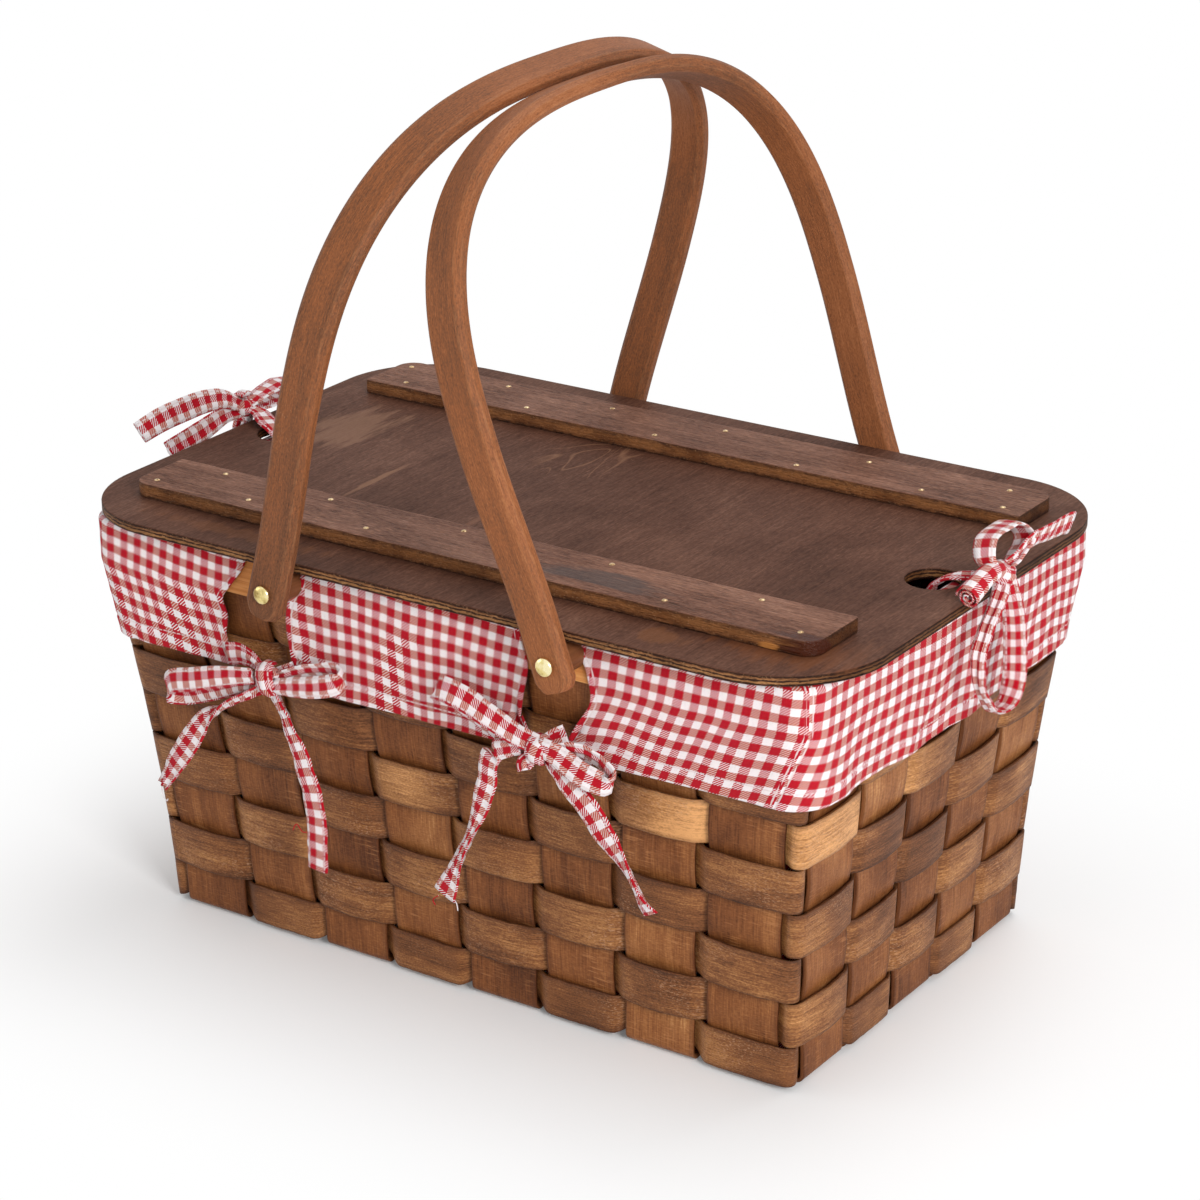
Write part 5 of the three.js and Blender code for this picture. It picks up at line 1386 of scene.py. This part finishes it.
def knotBall(centre, size, shift=0.0):
    # A crumpled ball of cloth: an ellipsoid with shallow folds along it.
    t = np.linspace(0.06, math.pi - 0.06, 18)
    s = np.linspace(0, 2 * math.pi, 32, endpoint=False)
    folds = 1 + 0.07 * np.sin(3 * s[None, :] + 2 * t[:, None] + shift) + 0.04 * np.sin(7 * s[None, :] + shift)
    ball = np.stack([np.sin(t)[:, None] * np.cos(s) * folds, np.sin(t)[:, None] * np.sin(s) * folds,
                     np.cos(t)[:, None] + 0 * folds], -1)
    points = ball * np.asarray(size) + np.asarray(centre)
    u = np.linspace(0, 2 * math.pi, 33)[None, :] * size[0] + 0 * t[:, None]
    v = t[:, None] * size[2] + 0 * u
    return {"points": points, "uv": np.stack([u, v], -1), "closeCols": True, "capEnds": True,
            "values": {"hemGap": farGap, "edgeGap": farGap, "along": 0},
            "area": float(2 * math.pi * (np.mean(size) ** 2))}


def wrapBand(centre, size, width, axis, shift=0.0):
    # The band that a knot shows: a tape that goes once round the crossing, its ends hidden behind.
    t = np.linspace(-0.62 * math.pi, 0.62 * math.pi, 9)
    axis = unit(np.asarray(axis, float))
    outward = unit(np.array([size[2], size[3], 0.0]))
    rise = unit(np.cross(axis, outward))
    pts = (np.asarray(centre)[None] + outward[None] * np.cos(t)[:, None] * size[0]
           + rise[None] * np.sin(t)[:, None] * size[1])
    return ribbon(pts, axis, [width * 0.8, width * 0.9, width, width, width * 0.95, width, width, width * 0.9,
                              width * 0.8], cup=-1.1, thick=1.7, shift=shift, puff=0.4)


def looseThread(points, cloth):
    # A thread pulled out of the cloth: a thin tube that keeps to one square of the check
    path = smoothCurve(points, 24)
    way = tangents(path)
    a = unit(np.cross(way, np.array([0.3, 0.2, 1.0])))
    b = np.cross(way, a)
    turn = np.linspace(0, 2 * math.pi, 6, endpoint=False)
    ring = a[:, None] * np.cos(turn)[:, None] + b[:, None] * np.sin(turn)[:, None]
    uv = np.full((len(path), len(turn) + 1, 2), {"red": 3.9, "white": 0.0}[cloth])
    return {"points": path[:, None] + 0.24 * ring, "uv": uv, "closeCols": True, "capEnds": True, "area": 10.0}


def bowPiece(name, sheets, replaced, body):
    # A tie's sheets in one object, in place of the CAD node; their areas are summed, and the sum is not
    # used. A tie's sheets in one object, declared as a folded strip of the same area
    area = sum(s.pop("area") for s in sheets) * 1e-6
    obj = gridPiece(name, sheets, body, finishes["cloth"])
    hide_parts(replaced)


def frontPlace(points, face, knot):
    # Points given as (along X, outwards, height) from the knot, on the front or turned to the back.
    p = np.asarray(points, float)
    x = knot[0] + (p[:, 0] if face < 0 else -p[:, 0])
    return np.stack([x, face * (tie["stand"] + p[:, 1]), knot[1] + p[:, 2]], 1)


def turnedAcross(across, face):
    # The same turn for width directions
    a = np.atleast_2d(np.asarray(across, float))
    out = np.stack([a[:, 0] if face < 0 else -a[:, 0], face * a[:, 1], a[:, 2]], 1)
    return out if out.shape[0] > 1 else out[0]


# Widths that the back bows' loops, tails and stubs share
loopWidths = [6, 9, 11, 11.5, 11.5, 11.5, 11.5, 10, 7.5]
tailWidths, twistWidths, stubWidths = [6, 7.5, 10, 11.5, 11.5, 12], [6, 7.5, 10, 11.5, 11, 12], [13, 10, 6]
# Each side bow: its knot, and tapes as points, width directions and widths, outwards being the second
leftFrontBow = {
    "face": -1, "knot": (-86.5, 149.5),
    "tapes": [
        ([(-31, -6.8, 3.5), (-22, -5.6, 5.5), (-13, -2.8, 6), (-4, 0, 3.5)],
         [(0.1, 0, 1), (0.15, 0, 1), (0.2, 0, 1), (0.2, 0, 1)], [11, 11, 8.5, 6]),
        ([(9.5, -6.5, 4), (4, -3, 2), (-2, 0, 0)], (0, 0, 1), [10, 8, 6]),
        ([(-5, 0.5, -3), (-20, -1, -8), (-40, -2.5, -16), (-56, -2.5, -21.5), (-61.5, 0.5, -20),
          (-58, 3.6, -13.5), (-45, 4.6, -9), (-27, 4.4, -3.5), (-8, 3.4, 1)],
         [(-0.1, 0, 1), (-0.2, 0.15, 1), (-0.25, 0.25, 1), (-0.3, 0.25, 1), (-0.3, 0, 1), (-0.3, -0.3, 1),
          (-0.3, -0.3, 1), (-0.2, -0.2, 1), (-0.1, 0, 1)],
         [6, 9, 11.5, 11.5, 11.5, 11.5, 11.5, 10.5, 7.5]),
        ([(5, 0, 2), (16, -1, 7), (28, -1.6, 10.5), (38, -0.6, 12), (43, 1.5, 11), (40, 3.8, 7.8),
          (29, 4.6, 4), (16, 4.4, 1), (5, 3.4, -1.5)],
         [(0.2, 0, 1), (0.25, 0.5, 1), (0.25, 0.6, 1), (0.25, 0.5, 1), (0.2, 0.2, 1), (0.25, -0.2, 1),
          (0.25, -0.3, 1), (0.2, -0.2, 1), (0.2, 0, 1)],
         [6, 8, 9.5, 10, 10, 10.5, 10.5, 9.5, 7.5]),
        ([(-3, 1, -4), (-10, 2, -9), (-20, 1.6, -14.5), (-32, 1, -22.5), (-42, 1.2, -31),
          (-50.5, 1.6, -43), (-60.5, 1, -57), (-70, 0, -71)],
         [(0.5, 0.3, 1), (0.6, 0.7, 0.8), (0.6, 0.8, 0.6), (0.7, 0.5, 0.5), (0.8, 0.1, -0.4),
          (0.8, 0, -0.5), (0.8, 0.1, -0.5), (0.8, 0.2, -0.5)],
         [6, 7, 7, 7.5, 10, 12, 11, 6.5]),
        ([(2, 1, -4), (4.5, 2.2, -8), (8, 2, -14), (12.5, 1.6, -24.5), (18, 1.4, -38), (22.5, 1.2, -53),
          (24.3, 1, -72), (23.2, 0.6, -91)],
         [(1, 0.2, 0.2), (1, 0.5, 0.3), (1, 0.5, 0.3), (1, 0.15, 0.3), (1, 0, 0.25), (1, 0, 0.15),
          (1, 0, 0), (1, 0.05, 0)],
         [5.5, 6, 7.5, 9.5, 11, 11.8, 11.8, 12]),
    ],
    "wrap": ((0, 0.4, 0.5), (5.6, 7.6), 10.5, (1, 0, 0.22)),
    "threads": [([(-71, 0, -72), (-70.4, 0.5, -76), (-67.6, 0.8, -78.5), (-66.4, 1.4, -77)], "white"),
                ([(20, 0.4, -72), (15.5, 0.8, -73.5), (11.6, 0.6, -70.5), (9.6, 1, -74)], "red")],
}
rightFrontBow = {
    "face": -1, "knot": (63.5, 150.0),
    "tapes": [
        ([(-14, -6.5, 6), (-10, -4, 5), (-4, -0.5, 2)], [(0.2, 0, 1), (0.2, 0, 1), (0.2, 0, 1)],
         [12, 9, 6]),
        ([(11, -6.5, 7), (6, -3.5, 5), (0, 0, 1)], (0.3, 0, 1), [14, 10, 7]),
        ([(-6, 0.5, -1), (-16, -1.2, -0.5), (-28, -2.4, 3.5), (-40, -2.6, 8.5), (-49, -2.2, 13.5),
          (-53.5, 0.8, 17.5), (-49.5, 3.6, 19.5), (-38, 4.6, 18), (-24, 4.6, 13), (-9, 4.2, 7),
          (4, 3.8, 4.5)],
         [(0.3, 0, 1), (0.3, 0.3, 1), (0.35, 0.4, 1), (0.35, 0.4, 1), (0.3, 0.2, 1), (0.3, 0, 1),
          (0.3, -0.4, 1), (0.35, -0.5, 1), (0.35, -0.5, 1), (0.3, -0.4, 1), (0.2, -0.2, 1)],
         [7, 9, 10.5, 11, 11, 11.5, 11.5, 11.5, 11, 10, 9]),
        ([(7, 1.5, 2), (17, 0.2, 5), (26, -0.8, 4.5), (34, -0.8, 1), (39.5, 0.8, -3.5), (38.5, 3.6, -6),
          (31, 4.8, -4.5), (21, 5, -1.2), (11, 4.6, 3), (3, 4, 4.5)],
         [(-0.2, 0.2, 1), (-0.1, 0.3, 1), (0.3, 0.4, 1), (0.4, 0.4, 1), (0.4, 0.1, 1), (0.4, -0.2, 1),
          (0.3, -0.3, 1), (0.3, -0.4, 1), (0.3, -0.3, 1), (0.2, 0, 1)],
         [6, 8, 9, 9.5, 10, 11, 11.5, 11, 10, 9]),
        ([(-8, 3.2, 1), (-15.5, 3.6, -1.4), (-22, 2.8, -5), (-26, 1.8, -12.2), (-27.5, 1.4, -22.3),
          (-31.7, 1.2, -35.5), (-38.2, 1.2, -52), (-44.1, 1.4, -64.5), (-53.2, 0.2, -84.5)],
         [(0.3, 0, 1), (0.2, 0, 1), (0.8, 0.1, 0.8), (1, 0.1, 0.25), (1, 0, -0.15), (1, 0.1, -0.3),
          (0.7, 0.8, -0.3), (0.9, 0.5, -0.4), (1, 0, -0.3)],
         [8, 9, 10, 10.5, 10.8, 10.2, 6.5, 7.5, 13]),
        ([(5, 1, -1), (9.5, 2.6, -3.5), (18, 2.6, -11), (28.3, 2.2, -21.2), (37.6, 1.8, -33.2),
          (45.9, 1.4, -43.6), (51.6, 1.4, -52.7), (58.5, 0.4, -64)],
         [(0.7, 0.2, 0.7), (0.7, 0.1, 0.8), (0.75, 0, 0.7), (0.8, 0, 0.65), (0.8, 0, 0.6),
          (0.7, 0.5, 0.5), (0.6, 0.8, 0.3), (0.9, 0.2, 0.4)],
         [7, 9, 12, 13, 12.5, 10, 6.5, 12]),
        ([(-1, 3, -3), (-4.5, 4.4, -5.5), (-3.5, 5.2, -8.5)], [(1, 0, 0.1), (1, 0, 0), (1, 0, -0.1)],
         [8, 8, 7.5]),
    ],
    "wrap": ((1.5, 0.8, 1.5), (5.4, 6.0), 11.5, (1, 0, -0.35)),
    "threads": [([(-50, 0.4, -84), (-46.6, 0.7, -87), (-45.8, 0.8, -90.5)], "white"),
                ([(-57, 0.4, -86), (-59.5, 1.2, -88.6), (-58.4, 1, -91)], "red")],
}
leftBackBow = {
    "face": 1, "knot": (-74.0, 153.0),
    "tapes": [
        ([(-15, -7, 3), (-9, -4, 3), (-2, 0, 0)], (0, 0, 1), stubWidths),
        ([(15, -7, 3), (9, -4, 3), (2, 0, 0)], (0, 0, 1), stubWidths),
        ([(-4, 0, 0), (-18, -1, -3), (-33, -2, -7), (-43, -1.6, -10), (-46, 0.8, -11), (-43, 3.4, -9),
          (-30, 4.4, -5), (-15, 4.2, -1), (-4, 3.4, 0)], (0, 0.15, 1),
         loopWidths),
        ([(4, 0, 0), (18, -1, -2), (33, -2, -5), (42, -1.6, -8), (45, 0.8, -9), (42, 3.4, -8),
          (30, 4.4, -4), (15, 4.2, -1), (4, 3.4, 0)], (0, 0.15, 1),
         loopWidths),
        ([(-2, 1, -3), (-8, 2, -10), (-16, 1.8, -26), (-24, 1.4, -45), (-29, 1.2, -65), (-31, 1, -84)],
         [(1, 0, 0), (1, 0.3, -0.3), (1, 0.1, -0.3), (1, 0, -0.3), (1, 0.2, -0.2), (1, 0, 0)],
         tailWidths),
        ([(2, 1, -3), (8, 2, -9), (18, 1.8, -22), (30, 1.4, -39), (38, 1.2, -55), (44, 1, -72)],
         [(1, 0, 0.2), (1, 0.3, 0.5), (1, 0, 0.6), (1, 0, 0.5), (1, 0.3, 0.4), (1, 0, 0.3)],
         twistWidths),
    ],
    "wrap": ((0, 0.4, 0), (5.6, 7.4), 10.5, (1, 0, 0)),
}
rightBackBow = {
    "face": 1, "knot": (74.0, 153.0),
    "tapes": [
        ([(-16, -7, 3), (-9, -4, 3), (-2, 0, 0)], (0, 0, 1), stubWidths),
        ([(15, -7, 3), (9, -4, 3), (2, 0, 0)], (0, 0, 1), stubWidths),
        ([(-4, 0, 0), (-18, -1, -1), (-33, -2, -3), (-42, -1.6, -6), (-45, 0.8, -7), (-42, 3.4, -6),
          (-30, 4.4, -3), (-15, 4.2, 0), (-4, 3.4, 0)], (0, 0.15, 1),
         loopWidths),
        ([(4, 0, 0), (18, -1, -4), (34, -2, -9), (45, -1.6, -12), (48, 0.8, -13), (45, 3.4, -11),
          (31, 4.4, -7), (15, 4.2, -2), (4, 3.4, 0)], (0, 0.15, 1),
         loopWidths),
        ([(-2, 1, -3), (-9, 2, -10), (-20, 1.8, -24), (-32, 1.4, -40), (-40, 1.2, -57), (-45, 1, -74)],
         [(1, 0, 0), (1, 0.3, -0.5), (1, 0.1, -0.6), (1, 0, -0.5), (1, 0.2, -0.4), (1, 0, -0.2)],
         tailWidths),
        ([(2, 1, -3), (7, 2, -10), (14, 1.8, -26), (22, 1.4, -46), (26, 1.2, -68), (27, 1, -88)],
         [(1, 0, 0.2), (1, 0.3, 0.3), (1, 0, 0.3), (1, 0, 0.3), (1, 0.2, 0.1), (1, 0, 0)],
         twistWidths),
    ],
    "wrap": ((0, 0.4, 0), (5.6, 7.4), 10.5, (1, 0, 0)),
}
sideBows = {"left_front": leftFrontBow, "right_front": rightFrontBow, "left_back": leftBackBow,
            "right_back": rightBackBow}
for name, bow in sideBows.items():
    face, knot = bow["face"], bow["knot"]
    sheets = []
    for n, (points, across, widths) in enumerate(bow["tapes"]):
        sheets.append(ribbon(frontPlace(points, face, knot), turnedAcross(across, face), widths,
                             uStart=1.3 * n, shift=0.7 * n + len(name)))
    centre, size, width, axis = bow["wrap"]
    sheets.append(wrapBand(frontPlace([centre], face, knot)[0], (*size, 0, face), width,
                           turnedAcross(axis, face), 0.4))
    sheets.append(knotBall(frontPlace([(centre[0], centre[1] - 0.6, centre[2])], face, knot)[0],
                           (5.6, 4.2, 5.8)))
    for points, cloth in bow.get("threads", []):
        sheets.append(looseThread(frontPlace(points, face, knot), cloth))
    bowPiece(f"sideTie_{name}", sheets, f"side_bow_{name}", "basket")

# Each end tie, from the lid's edge: (outwards, along the edge, up), with tapes as before
rightEndTie = {
    "side": 1, "knot": (1.5, 9.5, 6.5),
    "tapes": [
        ([(2, 9, 6), (-5, 6, 4.2), (-11, 2.5, 4.0), (-16, 0, 3.4), (-21, -1, 1), (-26, -1, -4),
          (-29, 0, -12)],
         [(0, 1, 0), (0.2, 1, 0), (0.5, 1, 0), (0.4, 1, 0.1), (0, 1, 0), (0, 1, 0), (0, 1, 0)],
         [8, 10, 12, 11, 9, 8, 9]),
        ([(3.5, 10, 6), (6.2, 9, 2), (7.2, 11, -6), (7.0, 15, -18), (6.4, 18, -34), (6, 18.5, -48),
          (5.6, 15, -56), (5.4, 8, -58.5), (5.4, -1, -55.5), (5.6, -10, -46), (6, -16.5, -34),
          (6.4, -17.5, -24), (6.8, -13, -14.5), (6.8, -4, -5.5), (5.6, 4, 1), (3, 8, 5)],
         [(0.6, 0.8, 0), (0.8, 0.6, 0), (0.85, 0.55, 0), (0.85, 0.5, 0), (0.9, 0.45, 0), (0.9, 0.4, 0.1),
          (1, 0.1, 0.1), (1, 0, 0), (1, 0, 0), (0.9, -0.1, -0.3), (0.9, -0.1, -0.3), (0.9, 0, -0.2),
          (0.9, 0.2, 0.3), (0.9, 0.3, 0.3), (0.8, 0.6, 0), (0.6, 0.8, 0)],
         [8, 8.5, 9.5, 10.5, 11, 11, 10.5, 10, 9, 8, 8, 8, 8, 8, 8, 8]),
        ([(2, 6, 7), (0, -2, 15), (-2, 3, 22), (-3, 17, 23.5), (-3, 31, 21), (-1, 38, 13),
          (1, 26, 8), (2, 13, 6)],
         [(1, 0, 0.2), (1, 0.2, 0.3), (1, 0, 0.2), (1, 0, 0.1), (1, 0, 0.1), (1, 0, 0.2), (1, 0, 0.3),
          (1, 0, 0.2)], [8, 10.5, 12, 12, 12, 11.5, 10.5, 8]),
        ([(2, 12, 7), (3, 22, 10), (3, 34, 12.5), (3, 50, 11.5), (2, 64, 9.5), (2, 77, 8)],
         [(0.3, 0, 1), (0.35, 0, 1), (0.4, 0, 1), (0.5, 0, 1), (0.35, -0.1, 1), (0.3, -0.2, 1)],
         [8, 9.5, 10.5, 11.5, 12, 12]),
    ],
    "wrap": ((2, 9.5, 6.2), (6.0, 6.2, 0.83, -0.56), 9.5, (0.1, 0.5, 1)),
    "roll": ((3, 7, 8), (3, -2, 9), (2.2, -21, 3.6)),
}
leftEndTie = {
    "side": -1, "knot": (3, -5, 6.5),
    "tapes": [
        ([(2, -6, 6.5), (-5, -7, 5), (-12, -4, 3.2), (-18, -1, 1.8), (-24, 0, -2), (-28.5, 0, -7),
          (-29.5, 0, -15)], (0, 1, 0), [8, 10, 12, 12, 11, 10, 10]),
        ([(4, -6, 6), (7.8, -7, -2), (8.4, -8, -20), (7, -9, -36), (4.6, -9, -40), (4.2, -9, -34),
          (3.6, -8, -18), (3.4, -7, -2), (2, -6, 4)], (0, 1, 0), [8, 11, 12, 12, 12, 12, 12, 10, 8]),
        ([(3, -2, 9), (2.5, 10, 15.4), (3, 24, 18), (4, 40, 18), (5, 56, 17), (6, 70, 14.4)],
         [(0.3, 0, 1), (0.35, 0, 1), (0.4, 0, 1), (0.5, 0, 1), (0.5, -0.2, 1), (0.6, -0.3, 1)],
         [8, 10, 11.5, 12, 12, 11]),
        ([(3, -2, 6), (4.5, 8, 6), (5.5, 27, 2), (6, 50, -1)],
         [(0.3, 0, 1), (0.3, 0, 1), (0.4, 0, 1), (0.5, 0, 1)], [7, 9, 11, 10]),
        ([(2, -6, 8), (2, -26, 12), (1, -42, 11), (1, -47, 7), (2, -40, 4.4), (3, -24, 4.2),
          (3, -8, 5.5)], (1, 0, 0.2), [8, 11, 12, 12, 12, 11, 8]),
    ],
    "wrap": ((3, -5, 7.5), (6.0, 6.6, 1, 0), 10, (0.15, 1, 0.1)),
    "roll": None,
}
endTies = {"right": rightEndTie, "left": leftEndTie}
edgeX, lidTop = 210.0, 211.8


def endPlace(points, side):
    # Points given from the lid's edge and top, at either end
    p = np.atleast_2d(np.asarray(points, float))
    return np.stack([side * (edgeX + p[:, 0]), side * p[:, 1], lidTop + p[:, 2]], 1)


def endAcross(across, side):
    # The same for width directions
    a = np.atleast_2d(np.asarray(across, float))
    out = np.stack([side * a[:, 0], side * a[:, 1], a[:, 2]], 1)
    return out if out.shape[0] > 1 else out[0]


roll = {"turns": 2.35, "radius": 5.7, "tighten": 0.3, "half": 0.42, "stations": 22}


def rolledTape(points, side):
    # A tape rolled up on itself: a spiral section along a short curve, open at its end.
    path = smoothCurve(endPlace(points, side), roll["stations"])
    way = tangents(path)
    a = unit(np.cross(way, np.array([0, 0, 1.0])))
    up = np.cross(a, way)
    t = np.linspace(0, roll["turns"] * 2 * math.pi, 76)
    circle = np.stack([np.cos(t), np.sin(t)], 1)
    r = (roll["radius"] - roll["tighten"] * t)[:, None]
    outer, inner = (r + roll["half"]) * circle, (r - roll["half"]) * circle
    outline = np.concatenate([outer, inner[::-1]])
    grow = np.linspace(0.78, 1.0, roll["stations"])[:, None]
    pts = (path[:, None, :] + a[:, None, :] * (outline[:, 0] * grow)[..., None]
           + up[:, None, :] * (outline[:, 1] * grow)[..., None])
    unrolled = np.concatenate([t * 5, (t * 5)[::-1], [0]])
    at = runOf(path)
    uv = np.stack(np.broadcast_arrays(unrolled[None, :], at[:, None]), -1)
    return {"points": pts, "uv": uv, "closeCols": True, "capEnds": True,
            "values": {"hemGap": farGap, "edgeGap": farGap, "along": 0}, "area": float(at[-1] * 60)}


for name, bow in endTies.items():
    side = bow["side"]
    sheets = []
    for n, (points, across, widths) in enumerate(bow["tapes"]):
        hanging = name == "right" and n == 1
        sheets.append(ribbon(endPlace(points, side), endAcross(across, side), widths, uStart=1.7 * n,
                             shift=0.9 * n + 2, scale=0.62 if hanging else 1.0))
    if bow["roll"]:
        sheets.append(rolledTape(bow["roll"], side))
    centre, size, width, axis = bow["wrap"]
    sheets.append(wrapBand(endPlace(centre, side)[0], (size[0], size[1], side * size[2], side * size[3]),
                           width, endAcross(axis, side), 0.8))
    sheets.append(knotBall(endPlace(bow["knot"], side)[0], (4.8, 5.6, 4.8), 1.0))
    bowPiece(f"endTie_{name}", sheets, f"end_bow_{name}", "lid")
print("ties tied")

studio = {
    "floor": (0.94, 0.94, 0.94), "world": 0.5, "foot": (0.176, 0.105, 10.0), "near": -0.05, "far": 0.2,
    "key": ((1.45, -0.95, 0.9), 0.55, 23.0),
    "fill": ((-1.9, -1.2, 0.9), 1.2, 7.0),
    "top": ((0.2, 0.9, 1.9), 1.2, 12.0), "aim": (0, 0, 0.15),
}


def seenOrMirrored(tree):
    # 1 for what the camera sees, straight, in a reflection or through glass
    path = put(tree, "LightPath").outputs
    seen = calc(tree, "MAXIMUM", path["Is Camera Ray"], path["Is Glossy Ray"])
    return calc(tree, "MAXIMUM", seen, path["Is Transmission Ray"])


def makeFloor():
    # A pale floor that turns white with the distance from the basket's own rectangle.
    floor = bpy.data.meshes.new("floor")
    floor.from_pydata([(-8, -8, 0), (8, -8, 0), (8, 8, 0), (-8, 8, 0)], [], [(0, 1, 2, 3)])
    obj = bpy.data.objects.new("floor", floor)
    bpy.context.scene.collection.objects.link(obj)
    material, tree, bsdf = startMaterial("paleFloor")
    output = next(n for n in tree.nodes if n.type == "OUTPUT_MATERIAL")
    bsdf.inputs["Base Color"].default_value = (*studio["floor"], 1)
    bsdf.inputs["Roughness"].default_value = 0.6
    bsdf.inputs["Specular IOR Level"].default_value = 0.2
    place = put(tree, "TexCoord").outputs["Object"]
    outside = put(tree, "VectorMath", {0: place}, operation="ABSOLUTE").outputs[0]
    outside = put(tree, "VectorMath", {0: outside, 1: studio["foot"]}, operation="SUBTRACT").outputs[0]
    outside = put(tree, "VectorMath", {0: outside, 1: (0, 0, 0)}, operation="MAXIMUM").outputs[0]
    away = put(tree, "VectorMath", {0: outside}, operation="LENGTH").outputs["Value"]
    share = put(tree, "MapRange", {"Value": away, "From Min": studio["near"], "From Max": studio["far"]},
                interpolation_type="SMOOTHSTEP").outputs[0]
    white = put(tree, "Emission", {"Color": (1, 1, 1, 1), "Strength": 1.0})
    share = calc(tree, "MULTIPLY", share, seenOrMirrored(tree))
    mix = put(tree, "MixShader", {0: share, 1: bsdf.outputs[0], 2: white.outputs[0]})
    tree.links.new(mix.outputs[0], output.inputs[0])
    obj.data.materials.append(material)


def makeWorld():
    # Soft light from all round, which the camera sees as plain white.
    world = bpy.data.worlds.new("studio")
    bpy.context.scene.world = world
    world.use_nodes = True
    tree = world.node_tree
    tree.nodes.clear()
    out = tree.nodes.new("ShaderNodeOutputWorld")
    soft = put(tree, "Background", {"Color": (1, 1, 1, 1), "Strength": studio["world"]})
    white = put(tree, "Background", {"Color": (1, 1, 1, 1), "Strength": 1.0})
    mix = put(tree, "MixShader", {0: seenOrMirrored(tree), 1: soft.outputs[0], 2: white.outputs[0]})
    tree.links.new(mix.outputs[0], out.inputs[0])


def makeLamps():
    # Three soft square lamps, each aimed at the basket's middle.
    for name in ("key", "fill", "top"):
        place, size, power = studio[name]
        light = bpy.data.lights.new(name, "AREA")
        light.size, light.energy = size, power
        lamp = bpy.data.objects.new(name, light)
        lamp.location = place
        aim = Vector(studio["aim"]) - Vector(place)
        lamp.rotation_mode = "QUATERNION"
        lamp.rotation_quaternion = aim.to_track_quat("-Z", "Y")
        bpy.context.scene.collection.objects.link(lamp)


makeFloor()
makeWorld()
makeLamps()
bpy.context.scene.view_settings.view_transform = "Standard"
print("studio lit")
